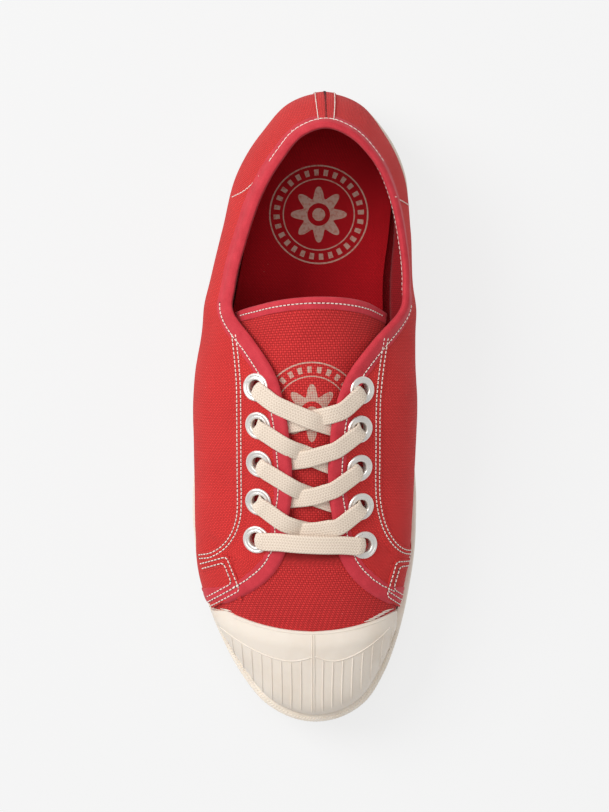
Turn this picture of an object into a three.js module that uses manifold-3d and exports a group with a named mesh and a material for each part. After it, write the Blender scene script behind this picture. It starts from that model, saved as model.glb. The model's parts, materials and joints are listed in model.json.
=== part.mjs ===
// A low canvas sneaker for the right foot, empty and unlaced at the ends, standing on its sole.
// Millimetres, +Z up. The toe points along -Y, the outer (lateral) side is -X and the inner (medial) side +X.
// The origin is on the floor, under the middle of the shoe's bounding box.
import * as THREE from "three";
import { mergeVertices } from "three/addons/utils/BufferGeometryUtils.js";
import Module from "manifold-3d";

const wasm = await Module();
wasm.setup();

// ---------------------------------------------------------------- driving dimensions
const GAP = 0.3; // clearance between pieces that touch
const CANVAS = 2.0; // wall of the upper: two plies of canvas and their glue
const CAP_WALL = 1.7; // rubber of the toe cap
const INSOLE = 3.2; // foam insole with its cloth
const TONGUE = 1.8; // padded canvas tongue
const SPRING = { start: -66, rise: 8, reach: 61.8, power: 1.9 }; // toe spring of the sole
const ARCH = { from: -8, to: 52, rise: 1.2 }; // the waist of the sole stands clear of the floor
const SOLE_TOP = { heel: 9, ball: 6, heelY: 70, ballY: -20 }; // thickness of the outsole
const EDGE_RISE = 0.6; // the foxing's foot stands this much above the outsole's face

const CAP_Y = -94; // the section at the toe cap's edge

// Lean of the upper's wall out of the sole, degrees outward, at a few places along the shoe: [y, degrees].
// It is widest beside the instep, eases at the ball and stands upright at the toe cap.
const WALL_FLARE = {
  lat: [[112, 32], [72, 46], [30, 46], [-40, 24], [-59, 28], [CAP_Y, 0]],
  med: [[125.2, 32], [112, 22], [45, 36], [0, 37], [-48, 18], [-59, 18], [CAP_Y, 0]],
};

// The lean at y, eased between the two places on either side of it and held beyond the ends.
function flareAt(stations, y) {
  const next = stations.findIndex(([at]) => y > at);
  if (next === 0) return stations[0][1];
  if (next < 0) return stations.at(-1)[1];
  const [fromY, from] = stations[next - 1];
  const [toY, to] = stations[next];
  return from + (to - from) * THREE.MathUtils.smoothstep(-y, -fromY, -toY);
}

// The shoe in sections from the back of the heel to the tip of the toe.
//   y, lat, med              outline of the sole, its two edges
//   topY, topLat, topMed, topZ  top of the upper: collar, throat edge, or ridge where both sides meet
//   latLean, medLean         lean of the wall at its top edge, degrees inward
//   full                     fullness of the wall's curve, 0.39 is a quarter circle
//   slope                    fall of the ridge towards the toe
//   foxTop, foxWall          height and thickness of the rubber foxing
const SECTION_NAMES = ["y", "lat", "med", "topY", "topLat", "topMed", "topZ",
  "latLean", "medLean", "full", "slope", "foxTop", "foxWall"];
const SECTIONS = [
  [125.2, 7, 7, 110.8, 7.6, 7.6, 66, 30, 30, 0.38, 0, 25, 2.8], // back of the heel
  [121.6, -6.2, 20.6, 107.2, -2.8, 18, 65.2, 32, 24, 0.38, 0, 25, 2.8],
  [110.5, -16.9, 31.6, 98, -10.8, 27.4, 62.6, 34, 14, 0.38, 0, 25, 2.8],
  [93, -26.8, 39.8, 84.5, -18.8, 34.4, 58.6, 36, 6, 0.42, 0, 24.5, 2.8],
  [71, -29.8, 40.6, 66, -25.4, 38.7, 55, 38, 4, 0.5, 0, 24, 2.8],
  [50, -33.6, 39, 47.5, -30, 40.2, 54.6, 38, 6, 0.54, 0, 23.2, 2.8], // lowest collar
  [36, -36.2, 39, 36, -30.4, 38.2, 57.4, 42, 22, 0.54, 0, 22.6, 2.8], // collar meets throat
  [24, -38.6, 39.6, 24.4, -21.8, 27.4, 64.4, 52, 44, 0.52, 0, 22.2, 2.8],
  [12, -40.8, 40.5, 12, -13.8, 17.6, 68.8, 62, 58, 0.5, 0, 21.9, 2.8],
  [-2, -43, 41.6, -2, -9.8, 12.2, 69.4, 66, 64, 0.48, 0, 21.6, 2.8],
  [-18, -45, 43, -18, -7.6, 10, 66, 68, 68, 0.45, 0, 21.2, 2.8],
  [-36, -46.1, 44.3, -36, -6.8, 9.6, 59.8, 70, 70, 0.43, 0, 21, 2.8],
  [-48, -46, 44.2, -50, -7.8, 10.9, 55.2, 72, 72, 0.43, 0, 21, 2.8],
  [-54, -45.4, 44, -58.6, -6, 9.2, 52.8, 80, 80, 0.43, 0.16, 21, 2.8],
  [-59, -44.9, 43.6, -61.5, 1.6, 1.6, 52.4, 90, 90, 0.43, 0.2, 21, 2.8], // foot of the throat
  [-72, -42.4, 41.7, -73, 2, 2, 49.8, 90, 90, 0.43, 0.24, 21.1, 2.8],
  [CAP_Y, -34.3, 36.6, -92.8, 2.4, 2.4, 44.4, 90, 90, 0.44, 0.32, 21.6, 3.1], // edge of the toe cap
  [-108.5, -26.4, 31, -103, 2.8, 2.8, 40.8, 90, 90, 0.43, 0.42, 22.6, 3.5],
  [-120, -17, 23.4, -107.6, 3, 3, 38.8, 90, 90, 0.42, 0.46, 23.8, 3.8],
  [-126.2, -6, 13, -109.6, 3, 3, 37.9, 90, 90, 0.41, 0.48, 24.7, 4],
  [-127.8, 3.3, 3.3, -110.3, 3, 3, 37.6, 90, 90, 0.4, 0.48, 25, 4], // tip of the toe
].map((row) => Object.fromEntries(SECTION_NAMES.map((name, i) => [name, row[i]])))
  .map((s) => ({ ...s, latFlare: flareAt(WALL_FLARE.lat, s.y), medFlare: flareAt(WALL_FLARE.med, s.y) }));
const LAST_ROW = SECTIONS.length - 1;
const FIRST_CLOSED = SECTIONS.findIndex((s) => s.topLat === s.topMed && s.slope > 0);
const CAP_ROW = SECTIONS.findIndex((s) => s.y === CAP_Y);

// ---------------------------------------------------------------- the shoe's surface
// Both sides share one knot spacing, so that their ribs meet on the ridge.
const KNOTS = SECTIONS.reduce((knots, s, i) => {
  if (i === 0) return [0];
  const p = SECTIONS[i - 1];
  const lateral = Math.hypot(s.y - p.y, s.lat - p.lat);
  const medial = Math.hypot(s.y - p.y, s.med - p.med);
  return [...knots, knots[i - 1] + (lateral + medial) / 2];
}, []);

const MIRRORED = { lat: "med", med: "lat", topLat: "topMed", topMed: "topLat", latFlare: "medFlare",
  medFlare: "latFlare", latLean: "medLean", medLean: "latLean" };

// A column's value at row i; past either end the row is the other side's, as on a closed loop.
function columnAt(name, i) {
  if (i < 0) return SECTIONS[-i][MIRRORED[name] ?? name];
  if (i > LAST_ROW) return SECTIONS[2 * LAST_ROW - i][MIRRORED[name] ?? name];
  return SECTIONS[i][name];
}

function knotAt(i) {
  if (i < 0) return -KNOTS[-i];
  if (i > LAST_ROW) return 2 * KNOTS[LAST_ROW] - KNOTS[2 * LAST_ROW - i];
  return KNOTS[i];
}

// Smooth value of a column at a fractional row, a cubic through the rows.
function column(name, row) {
  const i = Math.min(Math.floor(row), LAST_ROW - 1);
  const t = row - i;
  const h = knotAt(i + 1) - knotAt(i);
  const tangent = (k) => {
    const before = knotAt(k) - knotAt(k - 1);
    const after = knotAt(k + 1) - knotAt(k);
    const into = (columnAt(name, k) - columnAt(name, k - 1)) / before;
    const out = (columnAt(name, k + 1) - columnAt(name, k)) / after;
    return (into * after + out * before) / (before + after);
  };
  const a = columnAt(name, i);
  const b = columnAt(name, i + 1);
  const t2 = t * t;
  const t3 = t2 * t;
  return a * (2 * t3 - 3 * t2 + 1) + tangent(i) * h * (t3 - 2 * t2 + t)
    + b * (3 * t2 - 2 * t3) + tangent(i + 1) * h * (t3 - t2);
}

const LATERAL = -1;
const MEDIAL = 1;
const OUTLINE = { [LATERAL]: "lat", [MEDIAL]: "med" };
const TOP = { [LATERAL]: "topLat", [MEDIAL]: "topMed" };
const topX = (side, row) => (row < FIRST_CLOSED ? column(TOP[side], row)
  : (column("topLat", row) + column("topMed", row)) / 2);
const FLARE = { [LATERAL]: "latFlare", [MEDIAL]: "medFlare" };
const LEAN = { [LATERAL]: "latLean", [MEDIAL]: "medLean" };
const radians = THREE.MathUtils.degToRad;
const smooth = (t) => THREE.MathUtils.smoothstep(t, 0, 1);

// Outline of the sole at a row, set in by `inset` along its own normal.
function outline(side, row, inset = 0) {
  const step = 0.01;
  const at = (r) => new THREE.Vector2(column(OUTLINE[side], r), column("y", r));
  const here = at(row);
  let along;
  if (row <= step) along = new THREE.Vector2(side, 0);
  else if (row >= LAST_ROW - step) along = new THREE.Vector2(-side, 0);
  else along = at(row + step).sub(at(row - step)).normalize();
  const out = new THREE.Vector2(-along.y * side, along.x * side);
  return { point: here.addScaledVector(out, -inset), out };
}

// Point of the upper's outer face: v is 0 at the top of the foxing and 1 at the top edge.
function skin(side, row, v) {
  const foot = outline(side, row, column("foxWall", row) + GAP);
  const start = new THREE.Vector3(foot.point.x, foot.point.y, column("foxTop", row));
  const end = new THREE.Vector3(topX(side, row), column("topY", row), column("topZ", row));
  const flare = radians(column(FLARE[side], row));
  const lean = radians(Math.min(90, column(LEAN[side], row)));
  const across = new THREE.Vector3(end.x - start.x, end.y - start.y, 0).normalize();
  const inward = new THREE.Vector3(-foot.out.x, -foot.out.y, 0);
  inward.lerp(across, smooth((row - FIRST_CLOSED + 2) / 3)).normalize();
  const reach = column("full", row) * start.distanceTo(end);
  const rise = Math.cos(lean) + column("slope", row) * inward.y * Math.sin(lean);
  const arrival = new THREE.Vector3(inward.x * Math.sin(lean), inward.y * Math.sin(lean), rise).normalize();
  const away = Math.sin(flare);
  const leave = new THREE.Vector3(foot.out.x * away, foot.out.y * away, Math.cos(flare));
  const c1 = start.clone().addScaledVector(leave, reach);
  const c2 = end.clone().addScaledVector(arrival, -reach);
  return new THREE.CubicBezierCurve3(start, c1, c2, end).getPoint(v);
}

// Outward normal of the upper's face.
function skinNormal(side, row, v) {
  if (row >= FIRST_CLOSED && v > 0.999) {
    return new THREE.Vector3(0, -column("slope", row), 1).normalize();
  }
  const step = 0.02;
  const r0 = Math.max(row - step, 0);
  const r1 = Math.min(row + step, LAST_ROW);
  const along = skin(side, r1, v).sub(skin(side, r0, v));
  const v0 = Math.max(v - step, 0);
  const v1 = Math.min(v + step, 1);
  const up = skin(side, row, v1).sub(skin(side, row, v0));
  const normal = up.cross(along).multiplyScalar(side).normalize();
  if (row <= 0 || row >= LAST_ROW) normal.x = 0;
  return normal.normalize();
}

// Point of a face that runs `out` outside the upper's outer face, or inside it when negative.
function offsetSkin(side, row, v, out) {
  return skin(side, row, v).addScaledVector(skinNormal(side, row, v), out);
}

// ---------------------------------------------------------------- heights of the sole
function soleBottom(y) {
  const toe = Math.max(0, (SPRING.start - y) / SPRING.reach);
  const waist = THREE.MathUtils.clamp((y - ARCH.from) / (ARCH.to - ARCH.from), 0, 1);
  return SPRING.rise * toe ** SPRING.power + ARCH.rise * Math.sin(Math.PI * waist) ** 2;
}

function soleTop(y) {
  const heel = smooth((y - SOLE_TOP.ballY) / (SOLE_TOP.heelY - SOLE_TOP.ballY));
  const toe = Math.max(0, (SPRING.start - y) / SPRING.reach);
  return SOLE_TOP.ball + (SOLE_TOP.heel - SOLE_TOP.ball) * heel + SPRING.rise * toe ** SPRING.power;
}

// ---------------------------------------------------------------- mesh helpers
const material = (color, roughness, metalness = 0) =>
  new THREE.MeshStandardMaterial({ color, roughness, metalness });
const FINISH = {
  canvas: material(0xc8413e, 0.9),
  rubber: material(0xe6dbcb, 0.6),
  insole: material(0x8e1019, 0.95),
  metal: material(0xd9dcdc, 0.25, 1),
  lace: material(0xefe0cf, 0.95),
};

// A closed mesh from a list of corner points and faces given as rings of point numbers.
function solid(points, faces) {
  const positions = [];
  for (const face of faces) {
    for (let k = 1; k + 1 < face.length; k++) {
      for (const n of [face[0], face[k], face[k + 1]]) positions.push(...points[n].toArray());
    }
  }
  const geometry = new THREE.BufferGeometry();
  geometry.setAttribute("position", new THREE.Float32BufferAttribute(positions, 3));
  return withoutSlivers(mergeVertices(geometry, 1e-3));
}

// Drops the triangles that merging has folded onto a line.
function withoutSlivers(geometry) {
  const kept = [];
  const index = geometry.index.array;
  for (let i = 0; i < index.length; i += 3) {
    const [a, b, c] = index.subarray(i, i + 3);
    if (a !== b && b !== c && a !== c) kept.push(a, b, c);
  }
  geometry.setIndex(kept);
  return geometry;
}

// A shell between an outer and an inner sheet of points, each a list of strips of equal length.
// `around` closes the sheets on themselves. `meets` tells the strips whose last edge is already closed,
// because another strip's edge runs along it.
function shell(outer, inner, around, meets = () => false) {
  const rows = outer.length;
  const cols = outer[0].length;
  const points = [...outer.flat(), ...inner.flat()];
  const at = (layer, i, j) => layer * rows * cols + (i % rows) * cols + j;
  const faces = [];
  const strips = around ? rows : rows - 1;
  for (let i = 0; i < strips; i++) {
    for (let j = 0; j + 1 < cols; j++) {
      faces.push([at(0, i, j), at(0, i + 1, j), at(0, i + 1, j + 1), at(0, i, j + 1)]);
      faces.push([at(1, i, j), at(1, i, j + 1), at(1, i + 1, j + 1), at(1, i + 1, j)]);
    }
    faces.push([at(0, i, 0), at(1, i, 0), at(1, i + 1, 0), at(0, i + 1, 0)]);
    const last = cols - 1;
    if (!meets(i)) faces.push([at(0, i, last), at(0, i + 1, last), at(1, i + 1, last), at(1, i, last)]);
  }
  if (!around) {
    for (const [i, turn] of [[0, false], [rows - 1, true]]) {
      for (let j = 0; j + 1 < cols; j++) {
        const ring = [at(0, i, j), at(0, i, j + 1), at(1, i, j + 1), at(1, i, j)];
        faces.push(turn ? ring.reverse() : ring);
      }
    }
  }
  return solid(points, faces);
}

// The same faces with shared corners and nothing but positions.
function toSolid(geometry) {
  const plain = new THREE.BufferGeometry();
  plain.setAttribute("position", geometry.getAttribute("position"));
  const inOrder = [...Array(plain.attributes.position.count).keys()];
  plain.setIndex(geometry.index ? [...geometry.index.array] : inOrder);
  return withoutSlivers(mergeVertices(plain, 1e-3));
}

function toManifold(geometry) {
  const merged = toSolid(geometry);
  return new wasm.Manifold(new wasm.Mesh({
    numProp: 3,
    vertProperties: new Float32Array(merged.attributes.position.array),
    triVerts: new Uint32Array(merged.index.array),
  }));
}

function fromManifold(manifold) {
  const mesh = manifold.getMesh();
  const geometry = new THREE.BufferGeometry();
  geometry.setAttribute("position", new THREE.Float32BufferAttribute(mesh.vertProperties, 3));
  geometry.setIndex(new THREE.Uint32BufferAttribute(mesh.triVerts, 1));
  return geometry;
}

// Fractional rows from `from` to `to`, with `steps` to each section.
function rowsBetween(from, to, steps) {
  const rows = [];
  for (let i = 0; i <= Math.round((to - from) * steps); i++) rows.push(from + i / steps);
  return rows;
}

// The whole way round: heel, outer side, toe, inner side. Each stop is { side, row }.
function wayRound(steps) {
  const rows = rowsBetween(0, LAST_ROW, steps);
  const out = rows.map((row) => ({ side: LATERAL, row }));
  const back = rows.slice(1, -1).reverse().map((row) => ({ side: MEDIAL, row }));
  return [...out, ...back];
}

const spread = (count, from, to) => (
  Array.from({ length: count + 1 }, (_, k) => from + ((to - from) * k) / count));

// ---------------------------------------------------------------- upper
const UPPER_STEPS = 2;
const WALL_STEPS = 8;

// One rib of a face from its foot on the outsole to the top edge.
function upperRib(side, row, out) {
  const foot = offsetSkin(side, row, 0, out);
  const base = foot.clone().setZ(soleTop(foot.y) + GAP);
  return [base, ...spread(WALL_STEPS, 0, 1).map((v) => (v === 0 ? foot : offsetSkin(side, row, v, out)))];
}

const upperForm = (() => {
  const stops = wayRound(UPPER_STEPS);
  const onRidge = (i) => stops[i % stops.length].row >= FIRST_CLOSED;
  return shell(
    stops.map(({ side, row }) => upperRib(side, row, 0)),
    stops.map(({ side, row }) => upperRib(side, row, -CANVAS)),
    true,
    (i) => onRidge(i) && onRidge(i + 1),
  );
})();

// ---------------------------------------------------------------- eyelets
const EYELET = { flange: 5.6, hole: 2.8, barrel: 3.7, cut: 4.1, rim: 0.9 };
// Five to a side, from the ankle down. Each row keeps its pitch and bows towards the middle of the throat,
// which it is nearest to at eyelet number `nearest`, counted from 0.
const EYELET_COUNT = 5;
const EYELET_ROWS = {
  outer: { first: 7, pitch: 15.1, x: -18.8, bow: -0.3, nearest: 2 },
  inner: { first: 5.8, pitch: 15.35, x: 20.7, bow: 0.35, nearest: 1.6 },
};
const eyeletPlace = ({ first, pitch, x, bow, nearest }, n) => (
  [x + bow * (n - nearest) ** 2, first - pitch * n]);
const EYELETS = Array.from({ length: EYELET_COUNT }, (_, n) => ({
  outer: eyeletPlace(EYELET_ROWS.outer, n), inner: eyeletPlace(EYELET_ROWS.inner, n),
}));

// The row and v of the skin that lie at x and y in plan, by a few rounds of Newton's method.
function locate(side, x, y) {
  let row = 11;
  let v = 0.8;
  for (let n = 0; n < 12; n++) {
    const p = skin(side, row, v);
    const alongRow = skin(side, row + 0.01, v).sub(p).divideScalar(0.01);
    const alongV = skin(side, row, v + 0.001).sub(p).divideScalar(0.001);
    const det = alongRow.x * alongV.y - alongRow.y * alongV.x;
    const dx = x - p.x;
    const dy = y - p.y;
    row += THREE.MathUtils.clamp((dx * alongV.y - dy * alongV.x) / det, -1, 1);
    v = THREE.MathUtils.clamp(v + (alongRow.x * dy - alongRow.y * dx) / det, 0.3, 0.99);
  }
  return { side, row, v };
}

// A flat seat on the skin: its middle, its outward normal, and a turn that carries +Z to the normal.
function seatAt({ side, row, v }) {
  const normal = skinNormal(side, row, v);
  const turn = new THREE.Quaternion().setFromUnitVectors(new THREE.Vector3(0, 0, 1), normal);
  return { side, row, v, middle: skin(side, row, v), normal, turn };
}

const eyeletSeats = EYELETS.flatMap(({ outer, inner }, n) => [
  { name: `eyelet_outer_${n + 1}`, ...seatAt(locate(LATERAL, ...outer)) },
  { name: `eyelet_inner_${n + 1}`, ...seatAt(locate(MEDIAL, ...inner)) },
]);

// A flanged ring with its barrel going down through the canvas.
function eyeletRing({ middle, turn }) {
  const base = GAP + 0.15;
  const bottom = -CANVAS + 0.2;
  const profile = [
    [EYELET.hole, bottom], [EYELET.barrel, bottom], [EYELET.barrel, base], [EYELET.flange, base],
    [EYELET.flange - 0.4, base + 0.5], [(EYELET.flange + EYELET.hole) / 2, base + EYELET.rim],
    [EYELET.hole, base + 0.3], [EYELET.hole, bottom],
  ].map(([r, z]) => new THREE.Vector2(r, z));
  const ring = new THREE.LatheGeometry(profile, 12).rotateX(Math.PI / 2);
  return toSolid(ring.applyQuaternion(turn).translate(middle.x, middle.y, middle.z));
}

function eyeletCut({ middle, turn }) {
  const bore = new THREE.CylinderGeometry(EYELET.cut, EYELET.cut, 10, 12).rotateX(Math.PI / 2);
  return toManifold(bore.applyQuaternion(turn).translate(middle.x, middle.y, middle.z));
}

const upper = eyeletSeats.reduce((form, seat) => form.subtract(eyeletCut(seat)), toManifold(upperForm));

// ---------------------------------------------------------------- sole
// A band that runs all the way round: each profile point gives an inset and a height at a stop.
function band(profile, steps) {
  const rings = wayRound(steps).map(({ side, row }) => profile(row).map(([inset, height]) => {
    const { point } = outline(side, row, inset);
    return new THREE.Vector3(point.x, point.y, height(point.y));
  }));
  const half = rings[0].length / 2;
  return shell(rings.map((r) => r.slice(0, half)), rings.map((r) => r.slice(half).reverse()), true);
}

function foxing() {
  return band((row) => {
    const wall = column("foxWall", row);
    const top = column("foxTop", row);
    return [
      [0.7, (y) => soleBottom(y) + EDGE_RISE], [0, (y) => soleBottom(y) + EDGE_RISE + 1.6],
      [0, () => top - 1.4], [0.6, () => top],
      [wall, () => top], [wall, () => top - 1.4],
      [wall, (y) => soleBottom(y) + EDGE_RISE + 1.6], [wall, (y) => soleBottom(y) + EDGE_RISE],
    ];
  }, 2);
}

// A plate that fills the outline, set in by `inset(row, side)`: `across` columns of points from the
// outer to the inner side, the top and bottom heights given by functions of y and of s, -1 to 1 across.
function plate(rows, across, inset, top, bottom) {
  const sheet = (height) => rows.map((row) => {
    const lateral = outline(LATERAL, row, inset(row, LATERAL)).point;
    const medial = outline(MEDIAL, row, inset(row, MEDIAL)).point;
    return spread(across, 0, 1).map((t) => {
      const p = lateral.clone().lerp(medial, t);
      return new THREE.Vector3(p.x, p.y, height(p.y, 2 * t - 1));
    });
  });
  return shell(sheet(top), sheet(bottom), false);
}

const soleRows = [0.12, 0.35, 0.65, ...rowsBetween(1, LAST_ROW - 1, 2), LAST_ROW - 0.65, LAST_ROW - 0.35,
  LAST_ROW - 0.12];
const soleInset = (row) => column("foxWall", row) + GAP;

// Zigzag grooves leave the lugs of the tread standing between them.
const TREAD = { pitch: 9, width: 2.4, depth: 1.3, zig: 3, folds: 6, border: 4 };
const TREAD_ZONES = [{ from: -106, to: -8 }, { from: 52, to: 112 }];

function rowAt(y) {
  let [low, high] = [0, LAST_ROW];
  for (let n = 0; n < 30; n++) {
    const mid = (low + high) / 2;
    if (column("y", mid) > y) low = mid;
    else high = mid;
  }
  return (low + high) / 2;
}

function groove(y) {
  const row = rowAt(y);
  const left = column("lat", row) + column("foxWall", row) + TREAD.border;
  const right = column("med", row) - column("foxWall", row) - TREAD.border;
  const ring = (side) => spread(TREAD.folds, 0, 1).map((t, k) => {
    const at = y + (k % 2 ? TREAD.zig : -TREAD.zig) / 2 + (side * TREAD.width) / 2;
    return { x: left + (right - left) * t, y: at };
  });
  const edge = (side, z) => ring(side).map((p) => new THREE.Vector3(p.x, p.y, soleBottom(p.y) + z));
  const floor = [edge(1, TREAD.depth), edge(-1, TREAD.depth)];
  const below = [edge(1, -1), edge(-1, -1)];
  return toManifold(shell(floor, below, false));
}

const outsole = (() => {
  let form = toManifold(plate(soleRows, 1, soleInset, soleTop, soleBottom));
  for (const { from, to } of TREAD_ZONES) {
    for (let y = from; y <= to; y += TREAD.pitch) form = form.subtract(groove(y));
  }
  return form;
})();

// ---------------------------------------------------------------- insole
const CUP = 1.4; // rise of the insole's edge at the heel
const WAIST_GAP = 2.4; // the insole is narrower than the shoe along the inner waist
function insole() {
  const inset = (row, side) => {
    const waist = smooth(1 - Math.abs(column("y", row) - 46) / 60);
    return soleInset(row) + CANVAS + 0.6 + (side === MEDIAL ? WAIST_GAP * waist : 0);
  };
  const floor = (y) => soleTop(y) + GAP;
  const top = (y, s) => floor(y) + INSOLE + CUP * s ** 4 * smooth((y + 60) / 120);
  return plate(soleRows, 4, inset, top, floor);
}

// ---------------------------------------------------------------- tongue
const TONGUE_DROP = 4.1; // from the upper's outer face down to the tongue's, room for the lace between
const TONGUE_ROWS = { foot: 15, top: 7 };
const TONGUE_HALF = { foot: 21, top: 33.5 }; // half its width, measured round the instep
const TONGUE_END = { reach: 11, arc: 5.5, lift: 5, droop: 3.5 }; // the free end above the throat

// The arch over the instep at a row, carried across the open throat.
function archAt(row, drop) {
  const wall = (side) => spread(10, 0.35, 1).map((v) => offsetSkin(side, row, v, -drop));
  const lateral = wall(LATERAL);
  const medial = wall(MEDIAL).reverse();
  const bridge = [];
  if (row < FIRST_CLOSED) {
    const from = lateral.at(-1);
    const to = medial[0];
    const reach = 0.36 * from.distanceTo(to);
    const leaving = from.clone().sub(lateral.at(-2)).setY(0).normalize().multiplyScalar(reach);
    const arriving = to.clone().sub(medial[1]).setY(0).normalize().multiplyScalar(reach);
    const curve = new THREE.CubicBezierCurve3(from, from.clone().add(leaving), to.clone().add(arriving), to);
    bridge.push(...curve.getPoints(10).slice(1, -1));
  }
  return { points: [...lateral, ...bridge, ...medial], middle: lateral.length - 1 + bridge.length / 2 };
}

// Points of the arch at the distances `stations` from its middle, measured along it.
function measureAlong({ points }, stations, middleX) {
  const lengths = points.reduce(
    (sum, p, i) => [...sum, i ? sum[i - 1] + p.distanceTo(points[i - 1]) : 0], []);
  let zero = 0;
  for (let i = 1; i < points.length; i++) {
    if (points[i - 1].x <= middleX && points[i].x > middleX) {
      const t = (middleX - points[i - 1].x) / (points[i].x - points[i - 1].x);
      zero = lengths[i - 1] + t * (lengths[i] - lengths[i - 1]);
    }
  }
  return stations.map((station) => {
    const at = THREE.MathUtils.clamp(zero + station, 0, lengths.at(-1) - 1e-6);
    const i = lengths.findIndex((length) => length > at);
    return points[i - 1].clone().lerp(points[i], (at - lengths[i - 1]) / (lengths[i] - lengths[i - 1]));
  });
}

function tongueSheet(drop) {
  const ribs = [];
  const { foot, top } = TONGUE_ROWS;
  for (let row = foot; row >= top; row -= 0.5) {
    const t = (foot - row) / (foot - top);
    const half = TONGUE_HALF.foot + (TONGUE_HALF.top - TONGUE_HALF.foot) * t;
    const arch = archAt(row, drop);
    ribs.push(measureAlong(arch, spread(10, -half, half), 2));
  }
  const last = ribs.at(-1);
  for (const e of [0.5, 1]) {
    ribs.push(last.map((p, k) => {
      const s = (2 * k) / (last.length - 1) - 1;
      const crown = 1 - s * s;
      const forward = (TONGUE_END.reach + TONGUE_END.arc * crown) * e;
      const up = (TONGUE_END.lift * crown - TONGUE_END.droop * (1 - crown)) * e;
      return new THREE.Vector3(p.x * (1 + 0.03 * e), p.y + forward, p.z + up);
    }));
  }
  return ribs.reverse();
}

// ---------------------------------------------------------------- toe cap
const CAP_EDGE = { y: -90.4, x: 2, half: 39, sweep: 10 };
const capEdgeY = (x) => CAP_EDGE.y + CAP_EDGE.sweep * ((x - CAP_EDGE.x) / CAP_EDGE.half) ** 2;

const toeCap = (() => {
  const rows = rowsBetween(CAP_ROW - 1, LAST_ROW, 2);
  const stops = [
    ...rows.map((row) => ({ side: LATERAL, row })),
    ...rows.slice(0, -1).reverse().map((row) => ({ side: MEDIAL, row })),
  ];
  const sheet = (out) => stops.map(({ side, row }) => spread(8, 0, 1).map((v) => {
    const p = offsetSkin(side, row, v, out);
    return v === 0 ? p.setZ(p.z + 1.5 * GAP) : p;
  }));
  const form = toManifold(shell(sheet(GAP + CAP_WALL), sheet(GAP), false, () => true));
  const plan = new THREE.Shape();
  const xs = spread(12, -50, 54);
  plan.moveTo(-50, -140);
  plan.lineTo(54, -140);
  for (const x of xs.reverse()) plan.lineTo(x, capEdgeY(x));
  const knife = new THREE.ExtrudeGeometry(plan, { depth: 80, bevelEnabled: false });
  return form.intersect(toManifold(knife));
})();

// ---------------------------------------------------------------- laces
const LACE = { width: 6.8, thick: 1.3 };

// A flat strap through `path`, a list of { at, normal }; its width lies across the path.
function strap(path) {
  const sections = path.map(({ at, normal }, i) => {
    const next = path[Math.min(i + 1, path.length - 1)].at;
    const last = path[Math.max(i - 1, 0)].at;
    const along = next.clone().sub(last).normalize();
    const across = along.clone().cross(normal).normalize();
    const up = across.clone().cross(along).normalize();
    const corner = (w, t) => at.clone().addScaledVector(across, (w * LACE.width) / 2)
      .addScaledVector(up, (t * LACE.thick) / 2);
    return { top: [corner(1, 1), corner(-1, 1)], bottom: [corner(1, -1), corner(-1, -1)] };
  });
  return shell(sections.map((s) => s.top), sections.map((s) => s.bottom), false);
}

// A point of the lace's path: over the skin at `out`, or across the open throat at its own height.
function overSkin(side, row, v, out) {
  const normal = skinNormal(side, row, v);
  return { at: skin(side, row, v).addScaledVector(normal, out), normal };
}

const OVER = EYELET.rim + 2 * GAP + 0.4 + LACE.thick / 2; // clear of an eyelet's flange
const ABOVE = GAP + 0.6 + LACE.thick / 2; // clear of the canvas
const STRAND = { near: 0.42, short: 2.6, low: 1.4 };
const FALL = [0.86, 0.86, 0.86, 0.5]; // share of its fall that each strand has made at the far edge

// A strand from one eyelet over the throat, down to the far edge on its way to the next eyelet.
function strand(seat, far, share) {
  const { side, row, v } = seat;
  const fall = far.row - row;
  const over = [[0, OVER], [0.45, OVER], [0.8, ABOVE], [0.99, ABOVE + 0.7]].map(([t, out]) =>
    overSkin(side, row + fall * share * STRAND.near * t, v + (1 - v) * t, out));
  const end = overSkin(-side, row + fall * share, 0.995, -STRAND.low);
  end.at.x += side * STRAND.short;
  const middle = over.at(-1).at.clone().lerp(end.at, 0.5).add(new THREE.Vector3(0, 0, 1.2));
  return strap([...over, { at: middle, normal: new THREE.Vector3(0, -0.35, 1).normalize() }, end]);
}

function bar(lateral, medial) {
  const half = ({ side, row, v }) => [[0, OVER], [0.5, OVER], [0.99, ABOVE + 0.5]].map(([t, out]) =>
    overSkin(side, row, v + (1 - v) * t, out));
  const a = half(lateral);
  const b = half(medial).reverse();
  const middle = a.at(-1).at.clone().lerp(b[0].at, 0.5).add(new THREE.Vector3(0, 0, 1.2));
  return strap([...a, { at: middle, normal: new THREE.Vector3(0, -0.35, 1).normalize() }, ...b]);
}

const shoe = new THREE.Group();
shoe.name = "canvas_sneaker";
function add(name, geometry, finish) {
  const mesh = new THREE.Mesh(geometry, finish);
  mesh.name = name;
  shoe.add(mesh);
  return mesh;
}

add("outsole", fromManifold(outsole), FINISH.rubber);
add("foxing", foxing(), FINISH.rubber);
add("upper", fromManifold(upper), FINISH.canvas);
add("insole", insole(), FINISH.insole);
add("tongue", shell(tongueSheet(TONGUE_DROP), tongueSheet(TONGUE_DROP + TONGUE), false), FINISH.canvas);
add("toe_cap", fromManifold(toeCap), FINISH.rubber);
for (const seat of eyeletSeats) add(seat.name, eyeletRing(seat), FINISH.metal);
for (let n = 1; n <= 4; n++) {
  const [outer, inner, outerNext, innerNext] = eyeletSeats.slice(2 * n - 2, 2 * n + 2);
  const share = FALL[n - 1];
  const cross = toManifold(strand(outer, innerNext, share)).add(toManifold(strand(inner, outerNext, share)));
  add(`lace_cross_${n}`, fromManifold(cross), FINISH.lace);
}
add("lace_bar", bar(...eyeletSeats.slice(8)), FINISH.lace);

export default shoe;
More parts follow.
